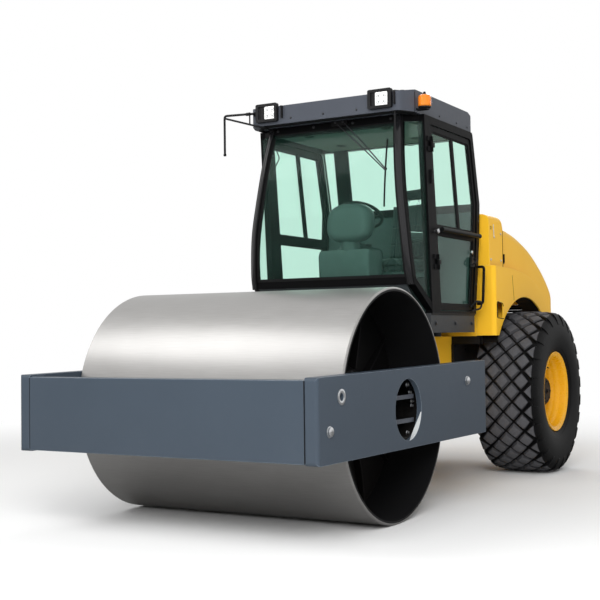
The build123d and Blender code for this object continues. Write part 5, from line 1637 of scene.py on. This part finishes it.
    def controls(self) -> None:
        """Makes the switches, the wheel's hub pad and knob, the gauges' bezels and the armrest's bright strip."""
        lean = (0, 0.5, 0.866)
        switches = Mould()
        for i in range(5):
            for j in range(2):
                low = self.placed((-0.352 + 0.04 * j, -0.15 + 0.036 * i, 2.04))
                switches.block(low, low + Vector((0.02, 0.012, 0.022)))
        switches.turned([(0.0, 0.05), (0.012, 0.048), (0.018, 0.034), (0.02, 0.004)], (0.07, -0.116, 2.277), lean, 32)
        switches.turned([(0.0, 0.019), (0.02, 0.021), (0.036, 0.017), (0.042, 0.004)], (-0.04, -0.03, 2.325), lean, 24)
        switches.make("console_switches", self.rack.moulding)
        gauges = Mould()
        for x in (-0.08, 0.0, 0.08):
            bezel = [(0.0, 0.03), (0.005, 0.03), (0.007, 0.026), (0.003, 0.025)]
            gauges.turned(bezel, (x + 0.09, -0.281, 2.2), (0, 1, 0.1), 32)
        gauges.make("gauge_bezels", self.rack.ground_rod)
        strip = Mould()
        strip.tube([self.placed((0.296, y, 2.112)) for y in (-0.13, 0.18)], 0.012, 12)
        strip.make("armrest_strip", self.rack.ground_rod)

    def mat_and_pedals(self) -> None:
        """Makes the ribbed floor mat and two pedals."""
        mat = Mould()
        mat.block((-0.66, -0.2, self.floor_z), (0.66, 0.6, 1.446))
        for x in (-0.64 + 0.05 * i for i in range(26)):
            mat.block((x, -0.19, 1.445), (x + 0.022, 0.59, 1.4485))
        mat.make("floor_mat", self.rack.rubber)
        pedals = Mould()
        for x in (-0.2, 0.33):
            plate = [(x, -0.34, 1.60), (x + 0.085, -0.34, 1.60), (x + 0.085, -0.27, 1.51), (x, -0.27, 1.51)]
            pedals.prism(plate, (0, 0.008, 0.008))
            pedals.tube([(x + 0.042, -0.335, 1.545), (x + 0.042, -0.37, 1.60)], 0.009, 8)
        pedals.make("pedals", self.rack.moulding)


# --- Hood, fenders and collar ---


@dataclass
class HoodFittings(Fittings):
    """Grille slats, latches, lamps and seams of the tail and the collar, black sheets of painted shade in the arches
    and under the fenders, and the engine's dressing.
    """

    collar_x: float = 0.82
    fender_x: float = 0.867
    hood_x: float = 0.80
    tail_lamp: tuple[float, float, float] = (0.6, 2.796, 1.44)
    chassis_x: float = 0.4502
    shade_sheet_x: float = 0.472

    def build(self) -> None:
        """Makes every fitting behind the cab."""
        self.grille()
        self.tail_lamps()
        for side in Side:
            self.collar_side(side)
            self.fender_side(side)
            self.side_painted_shade(side)
            self.hood_side(side)
        self.left_handle()
        self.engine_dressing()

    def grille(self) -> None:
        """Makes the slats and the bars of the tail grille."""
        slats = Mould()
        x = -0.462
        for z in (1.338 + i * 0.0255 for i in range(9)):
            slat = [(x, 2.796, z), (x, 2.826, z - 0.007), (x, 2.8275, z - 0.003), (x, 2.7975, z + 0.004)]
            slats.prism(slat, (-2 * x, 0, 0))
        for x in (-0.24, 0.0, 0.24):
            slats.block((x - 0.006, 2.792, 1.33), (x + 0.006, 2.824, 1.55))
        slats.make("grille_slats", self.rack.moulding, "hood")

    def tail_lamps(self) -> None:
        """Makes a round red tail lamp with its black rim at each side."""
        x, y, z = self.tail_lamp
        ring = [(-0.02, 0.06), (0.012, 0.06), (0.016, 0.054), (0.012, 0.049), (-0.02, 0.049)]
        crown = [(-0.01, 0.0492), (0.01, 0.0492), (0.016, 0.04), (0.02, 0.02), (0.021, 0.001)]
        for side in Side:
            at = (side.value * x, y, z)
            rim, lens = Mould(), Mould()
            rim.turned(ring, at, BACKWARD, 36, back=True)
            rim.make(f"tail_lamp_rim_{side.word}", self.rack.moulding, "hood")
            lens.turned(crown, at, BACKWARD, 36)
            lens.make(f"tail_lamp_lens_{side.word}", self.rack.red_lens, "hood")

    def collar_side(self, side: Side) -> None:
        """Makes the collar's plug, slot, bolts and seam on one side.

        Args:
            side: the collar's side.
        """
        x = side.value * self.collar_x
        dark = Mould()
        dark.turned([(-0.002, 0.016), (0.0015, 0.016), (0.002, 0.013), (-0.001, 0.011)], (x, 0.909, 2.20), side.out, 24)
        dark.tube([(x, 1.2, 1.868), (x, 1.2, 2.19)], 0.003, 8)
        dark.make(f"collar_plug_{side.word}", self.rack.rubber)
        bright = Mould()
        slot = [(x, 0.962, 2.235), (x, 0.975, 2.235), (x, 0.989, 2.112), (x, 0.973, 2.112)]
        bright.prism(slot, (side.value * 0.003, 0, 0))
        bright.screws([(x + side.value * 0.002, 0.981, 2.122)], side.out, 0.007, 0.008)
        bright.screws([(x, 1.15, 1.92), (x, 1.15, 2.16), (x, 0.9, 1.92)], side.out, 0.008, 0.008)
        bright.make(f"collar_slot_{side.word}", self.rack.zinc)

    def fender_side(self, side: Side) -> None:
        """Makes the fender's seam, its grip strips, the hand hole's liner, edge and latch, and a black sheet of painted
        shade in the arch.

        Args:
            side: the fender's side.
        """
        x = side.value * self.fender_x
        seam = Mould()
        low, high = side.span(self.fender_x - 0.001, self.fender_x + 0.0012)
        ends = [(1.308, 1.795), (1.312, 1.795), (1.352, 1.57), (1.348, 1.57)]
        seam.prism([(low, y, z) for y, z in ends], (high - low, 0, 0))
        seam.make(f"fender_seam_{side.word}", self.rack.rubber)
        strips = Mould()
        x0, x1 = side.span(0.828, 0.858)
        for y in (0.9 + 0.055 * i for i in range(7)):
            # The ledge falls a little towards the tail.
            z = 1.8685 - 0.0331 * (y - 0.804)
            strips.prism([(x0, y, z), (x1, y, z), (x1, y + 0.03, z - 0.001), (x0, y + 0.03, z - 0.001)], (0, 0, 0.0035))
        strips.make(f"ledge_grips_{side.word}", self.rack.rubber)
        recess = Mould()
        x0, x1 = side.span(self.fender_x - 0.06, self.fender_x - 0.064)
        recess.block((x0, 0.885, 1.385), (x1, 1.09, 1.57))
        recess.make(f"recess_liner_{side.word}", self.rack.moulding)
        edge = Mould()
        rim = [(0.906, 1.408), (1.066, 1.402), (1.060, 1.536), (0.906, 1.552)]
        # The path starts past its first corner, so the ring closes on a rounded one.
        edge.tube(rounded([(x, y, z) for y, z in rim + rim[:2]], 0.026, 4)[6:], 0.0035, 8)
        edge.make(f"recess_edge_{side.word}", self.rack.rubber)
        # Painted shade: a black sheet under the arch, where the fender leaves the space over the tyre in shade.
        arch_shade = Mould()
        loops = []
        for turn in (math.radians(32 + 116 * i / 30) for i in range(31)):
            y, z = math.cos(turn), math.sin(turn)
            sheet = ((0.694, 0.8672), (0.855, 0.8672), (0.855, 0.8645), (0.694, 0.8645))
            loops.append([Vector((side.value * u, WHEEL_AXLE.y + r * y, WHEEL_AXLE.z + r * z)) for u, r in sheet])
        arch_shade.skin(loops)
        arch_shade.make(f"arch_painted_shade_{side.word}", self.rack.rubber)
        latch = Mould()
        root, tip = x - side.value * 0.052, x - side.value * 0.032
        lever = [(root, 0.94, 1.43), (tip, 0.95, 1.45), (tip, 1.0, 1.47), (root, 1.01, 1.47)]
        latch.tube(rounded(lever, 0.01), 0.006, 8)
        latch.make(f"recess_latch_{side.word}", self.rack.zinc)

    def side_painted_shade(self, side: Side) -> None:
        """Makes black sheets of painted shade on the chassis in front of one wheel and under the fender's foot, with
        their screws.

        Args:
            side: the sheets' side.
        """
        # Painted shade: black sheets on the chassis and under the fender's foot, where the cab leaves them in shade.
        under_cab_shade = Mould()
        # Each sheet is two distances from the middle, then a low and a high corner in Y and Z.
        sheets = (
            (self.chassis_x, self.shade_sheet_x, (0.86, 0.74), (1.17, 1.1795)),
            (self.chassis_x, self.shade_sheet_x, (1.17, 1.02), (1.95, 1.1795)),
            (0.452, 0.7235, (0.866, 1.1765), (0.8742, 1.2535)),
            (0.452, 0.7235, (0.866, 1.1765), (0.9265, 1.1798)),
            (0.7202, 0.7235, (0.866, 1.1765), (0.9265, 1.2535)),
        )
        for near, far, low, high in sheets:
            x0, x1 = side.span(near, far)
            under_cab_shade.block((x0, *low), (x1, *high))
        spots = [(side.value * self.shade_sheet_x, y, z) for y in (0.89, 1.14) for z in (0.78, 1.13)]
        under_cab_shade.screws(spots, side.out, 0.008, 0.007)
        under_cab_shade.make(f"side_painted_shade_{side.word}", self.rack.moulding)

    def hood_side(self, side: Side) -> None:
        """Makes the hood's rubber latch on one side.

        Args:
            side: the hood's side.
        """
        x0, x1 = side.span(self.hood_x, self.hood_x + 0.012)
        x = side.value * (self.hood_x + 0.012)
        latch = Mould()
        latch.block((x0, 1.235, 1.90), (x1, 1.265, 1.965))
        latch.tube([(x, 1.25, 1.91), (x, 1.25, 1.985)], 0.009, 10)
        latch.make(f"hood_latch_{side.word}", self.rack.rubber, "hood")

    def left_handle(self) -> None:
        """Makes the black curved handle low in front of the left fender."""
        path = [(0.758, 0.57, 1.50), (0.8, 0.578, 1.548), (0.804, 0.70, 1.546)]
        path += [(0.80, 0.70, 1.49), (0.758, 0.58, 1.465)]
        handle = Mould()
        handle.tube(rounded(path, 0.03), 0.0085, 10)
        handle.make("boarding_handle", self.rack.moulding)

    def engine_dressing(self) -> None:
        """Makes the engine's cover ribs, filter, pipe and belt wheel, seen with the hood up."""
        ribs = Mould()
        for y in (1.16 + 0.11 * i for i in range(8)):
            ribs.block((-0.28, y, 1.78), (0.28, y + 0.03, 1.805))
        for side in Side:
            x0, x1 = side.span(0.45, 0.47)
            for y in (1.18 + 0.14 * i for i in range(6)):
                ribs.block((x0, y, 1.08), (x1, y + 0.05, 1.70))
        ribs.make("engine_ribs", self.rack.casting)
        filters = Mould()
        can = [(0.0, 0.06), (0.01, 0.07), (0.28, 0.07), (0.29, 0.06), (0.31, 0.04), (0.315, 0.002)]
        filters.turned(can, (-0.14, 1.32, 1.875), BACKWARD, 32)
        pipe = [(-0.14, 1.33, 1.875), (-0.14, 1.26, 1.875), (-0.3, 1.24, 1.85), (-0.34, 1.24, 1.74)]
        filters.tube(rounded(pipe, 0.05), 0.03, 16)
        pulley = [(0.0, 0.12), (0.012, 0.12), (0.02, 0.1), (0.03, 0.1), (0.035, 0.12), (0.05, 0.12)]
        filters.turned(pulley, (0.0, 2.07, 1.45), BACKWARD, 40)
        filters.make("engine_filters", self.rack.moulding)


# --- The frame's own solids ---


@dataclass
class CarriedPieces(Fittings):
    """Dresses the solids of the frame in their finishes."""

    nodes: dict[str, Piece]

    def dress(self) -> None:
        """Gives each solid its finish."""
        f = self.rack
        groups: tuple[tuple[Material, str], ...] = (
            (f.slate, "front_crossbeam rear_crossbeam side_plate_left side_plate_right"),
            (f.drum, "drum_shell"),
            (f.black, "drum_bulkheads drum_supports drum_scrapers hitch_yoke steering_barrel_left"),
            (f.black, "steering_barrel_right rear_axle wheel_hub_left wheel_hub_right grab_handle"),
            (f.black, "mirror_arm roof_fittings door_fittings"),
            (f.ground_rod, "steering_rod_left steering_rod_right"),
            (f.zinc, "frame_pins"),
            (f.yellow, "chassis hood fender_left fender_right rear_bulkhead"),
            (f.rim, "rim_left rim_right"),
            (f.casting, "engine_block"),
            (f.tyre, "tyre_left tyre_right"),
            (f.charcoal, "cab_frame cab_door side_window_frame"),
            (f.skirt, "cab_base"),
            (f.roof, "roof"),
            (f.trim, "cab_panels seat_base"),
            (f.moulding, "steering_column steering_wheel hood_grille roof_lamps"),
            (f.cloth, "seat_cushion seat_back"),
            (f.glass, "windscreen cab_windows door_glass"),
            (f.amber, "beacon_lens"),
        )
        for finish, names in groups:
            for name in names.split():
                node = self.nodes[name]
                if not node.material_slots:
                    node.data.materials.append(finish)
                for slot in node.material_slots:
                    slot.material = finish
                log.info("dressed %s in %s", name, finish.name)


# --- Studio ---


@dataclass
class Studio:
    """Pale floor, white surround, soft lamps and the camera."""

    eye: Point = (4.341, -8.504, 1.294)
    azimuth: float = 30.139
    pitch: float = -1.683
    roll: float = -0.698
    lens_mm: float = 67.89
    floor_radius: float = 30.0
    floor_white_from: float = 4.0
    floor_white_at: float = 9.0
    # The world's strength where it lights matt faces, and where shiny ones mirror it.
    lit_strength: float = 0.48
    mirrored_share: float = 0.5

    def build(self) -> None:
        """Sets up the camera, the floor, the surround and the lamps."""
        bpy.context.scene.view_settings.view_transform = "Standard"
        self.camera()
        self.floor()
        self.surround()
        self.lamp("key", (1.5, -9.5, 8.5), (0.4, -1.0, 0.8), 5.0, 300.0, mirrored=False)
        self.lamp("fill", (5.3, -9.7, 5.5), (0.5, 0.0, 1.2), 5.0, 820.0, mirrored=False)
        self.lamp("band", (-4.6, -5.5, 7.4), (0.0, -1.8, 1.0), 4.2, 150.0)
        self.lamp("back", (-2.0, 8.5, 6.5), (0.0, 0.5, 1.8), 4.0, 260.0)

    def camera(self) -> None:
        """Makes the camera from where it stands and how it is turned."""
        a, p, r = (math.radians(v) for v in (self.azimuth, self.pitch, self.roll))
        ahead = Vector((-math.sin(a) * math.cos(p), math.cos(a) * math.cos(p), -math.sin(p)))
        level_right = Vector((math.cos(a), math.sin(a), 0.0))
        level_up = level_right.cross(ahead)
        right = level_right * math.cos(r) + level_up * math.sin(r)
        up = -level_right * math.sin(r) + level_up * math.cos(r)
        data = bpy.data.cameras.new("viewpoint")
        data.lens = self.lens_mm
        data.sensor_width = 36.0
        data.clip_end = 200.0
        camera = bpy.data.objects.new("viewpoint", data)
        bpy.context.scene.collection.objects.link(camera)
        camera.matrix_world = Matrix.Translation(self.eye) @ Matrix((right, up, -ahead)).transposed().to_4x4()
        bpy.context.scene.camera = camera

    def floor(self) -> None:
        """Lays a pale floor that fades to white far from the machine."""
        mesh = bpy.data.meshes.new("floor")
        shape = bmesh.new()
        bmesh.ops.create_circle(shape, cap_ends=True, segments=96, radius=self.floor_radius)
        shape.to_mesh(mesh)
        shape.free()
        floor = bpy.data.objects.new("floor", mesh)
        bpy.context.scene.collection.objects.link(floor)
        material, add, place = Finish("pale_floor", Slot.BRIGHT_STEEL).blank()
        away = add("VectorMath", {0: place}, {"operation": "LENGTH"})
        reach = {"Value": away, "From Min": self.floor_white_from, "From Max": self.floor_white_at}
        fade = add("MapRange", reach, {"interpolation_type": "SMOOTHSTEP"})
        rays = add("LightPath").outputs
        direct = add("Math", {0: rays["Is Camera Ray"], 1: rays["Is Transmission Ray"]}, HIGHER)
        share = add("Math", {0: direct, 1: fade}, PRODUCT)
        grain = add("TexNoise", {"Vector": place, "Scale": 40.0, "Detail": 4.0})
        tone = add("Mix", {0: grain, 6: srgb("#F4F4F3"), 7: srgb("#F8F8F8")}, COLOURS)
        # Shiny faces see a darker floor, as under a flagged studio lamp, so the drum's lower half is shaded.
        flagged = add("Mix", {0: rays["Is Glossy Ray"], 6: tone, 7: srgb("#868686")}, COLOURS)
        matt = add("BsdfDiffuse", {"Color": flagged})
        white = add("Emission", {"Color": srgb("#FFFFFF"), "Strength": 1.0})
        either = add("MixShader", {0: share, 1: matt, 2: white})
        add("OutputMaterial", {"Surface": either})
        mesh.materials.append(material)

    def surround(self) -> None:
        """Fills the world with white, dimmer where it only lights the machine."""
        world = bpy.data.worlds.new("surround")
        bpy.context.scene.world = world
        world.use_nodes = True
        world.node_tree.nodes.clear()
        add = partial(add_node, world.node_tree)
        rays = add("LightPath").outputs
        seen = add("Math", {0: rays["Is Camera Ray"], 1: rays["Is Transmission Ray"]}, HIGHER)
        mirrored = add("Math", {0: rays["Is Glossy Ray"], 1: self.mirrored_share}, PRODUCT)
        direct = add("Math", {0: seen, 1: mirrored}, HIGHER)
        strength = add("MapRange", {"Value": direct, "To Min": self.lit_strength, "To Max": 1.0})
        sky = add("Background", {"Color": srgb("#FFFFFF"), "Strength": strength})
        add("OutputWorld", {"Surface": sky}).is_active_output = True

    def lamp(
        self, name: str, at: Sequence[float], target: Sequence[float], size: float, watts: float, mirrored: bool = True
    ) -> None:
        """Hangs a soft square lamp.

        Args:
            name: the lamp's name.
            at: where it hangs.
            target: the point that it faces.
            size: its side in metres.
            watts: its power.
            mirrored: whether shiny surfaces show it.
        """
        data = bpy.data.lights.new(name, "AREA")
        data.size = size
        data.energy = watts
        lamp = bpy.data.objects.new(name, data)
        lamp.visible_glossy = mirrored
        bpy.context.scene.collection.objects.link(lamp)
        lamp.location = at
        lamp.rotation_euler = (Vector(target) - Vector(at)).to_track_quat("-Z", "Y").to_euler()


def main() -> None:
    """Builds the road roller round its frame."""
    logging.basicConfig(level=logging.INFO, format="%(message)s")
    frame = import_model()
    Studio().build()
    rack = FinishRack()
    nodes = frame["nodes"]
    CarriedPieces(rack, nodes).dress()
    FrontFrameFittings(rack).build()
    DrumFittings(rack).build()
    for side in Side:
        Wheel(rack, side).build()
    CabTrim(rack, nodes).build()
    RoofFittings(rack).build()
    OperatorStation(rack).build()
    HoodFittings(rack).build()


if __name__ == "__main__":
    main()
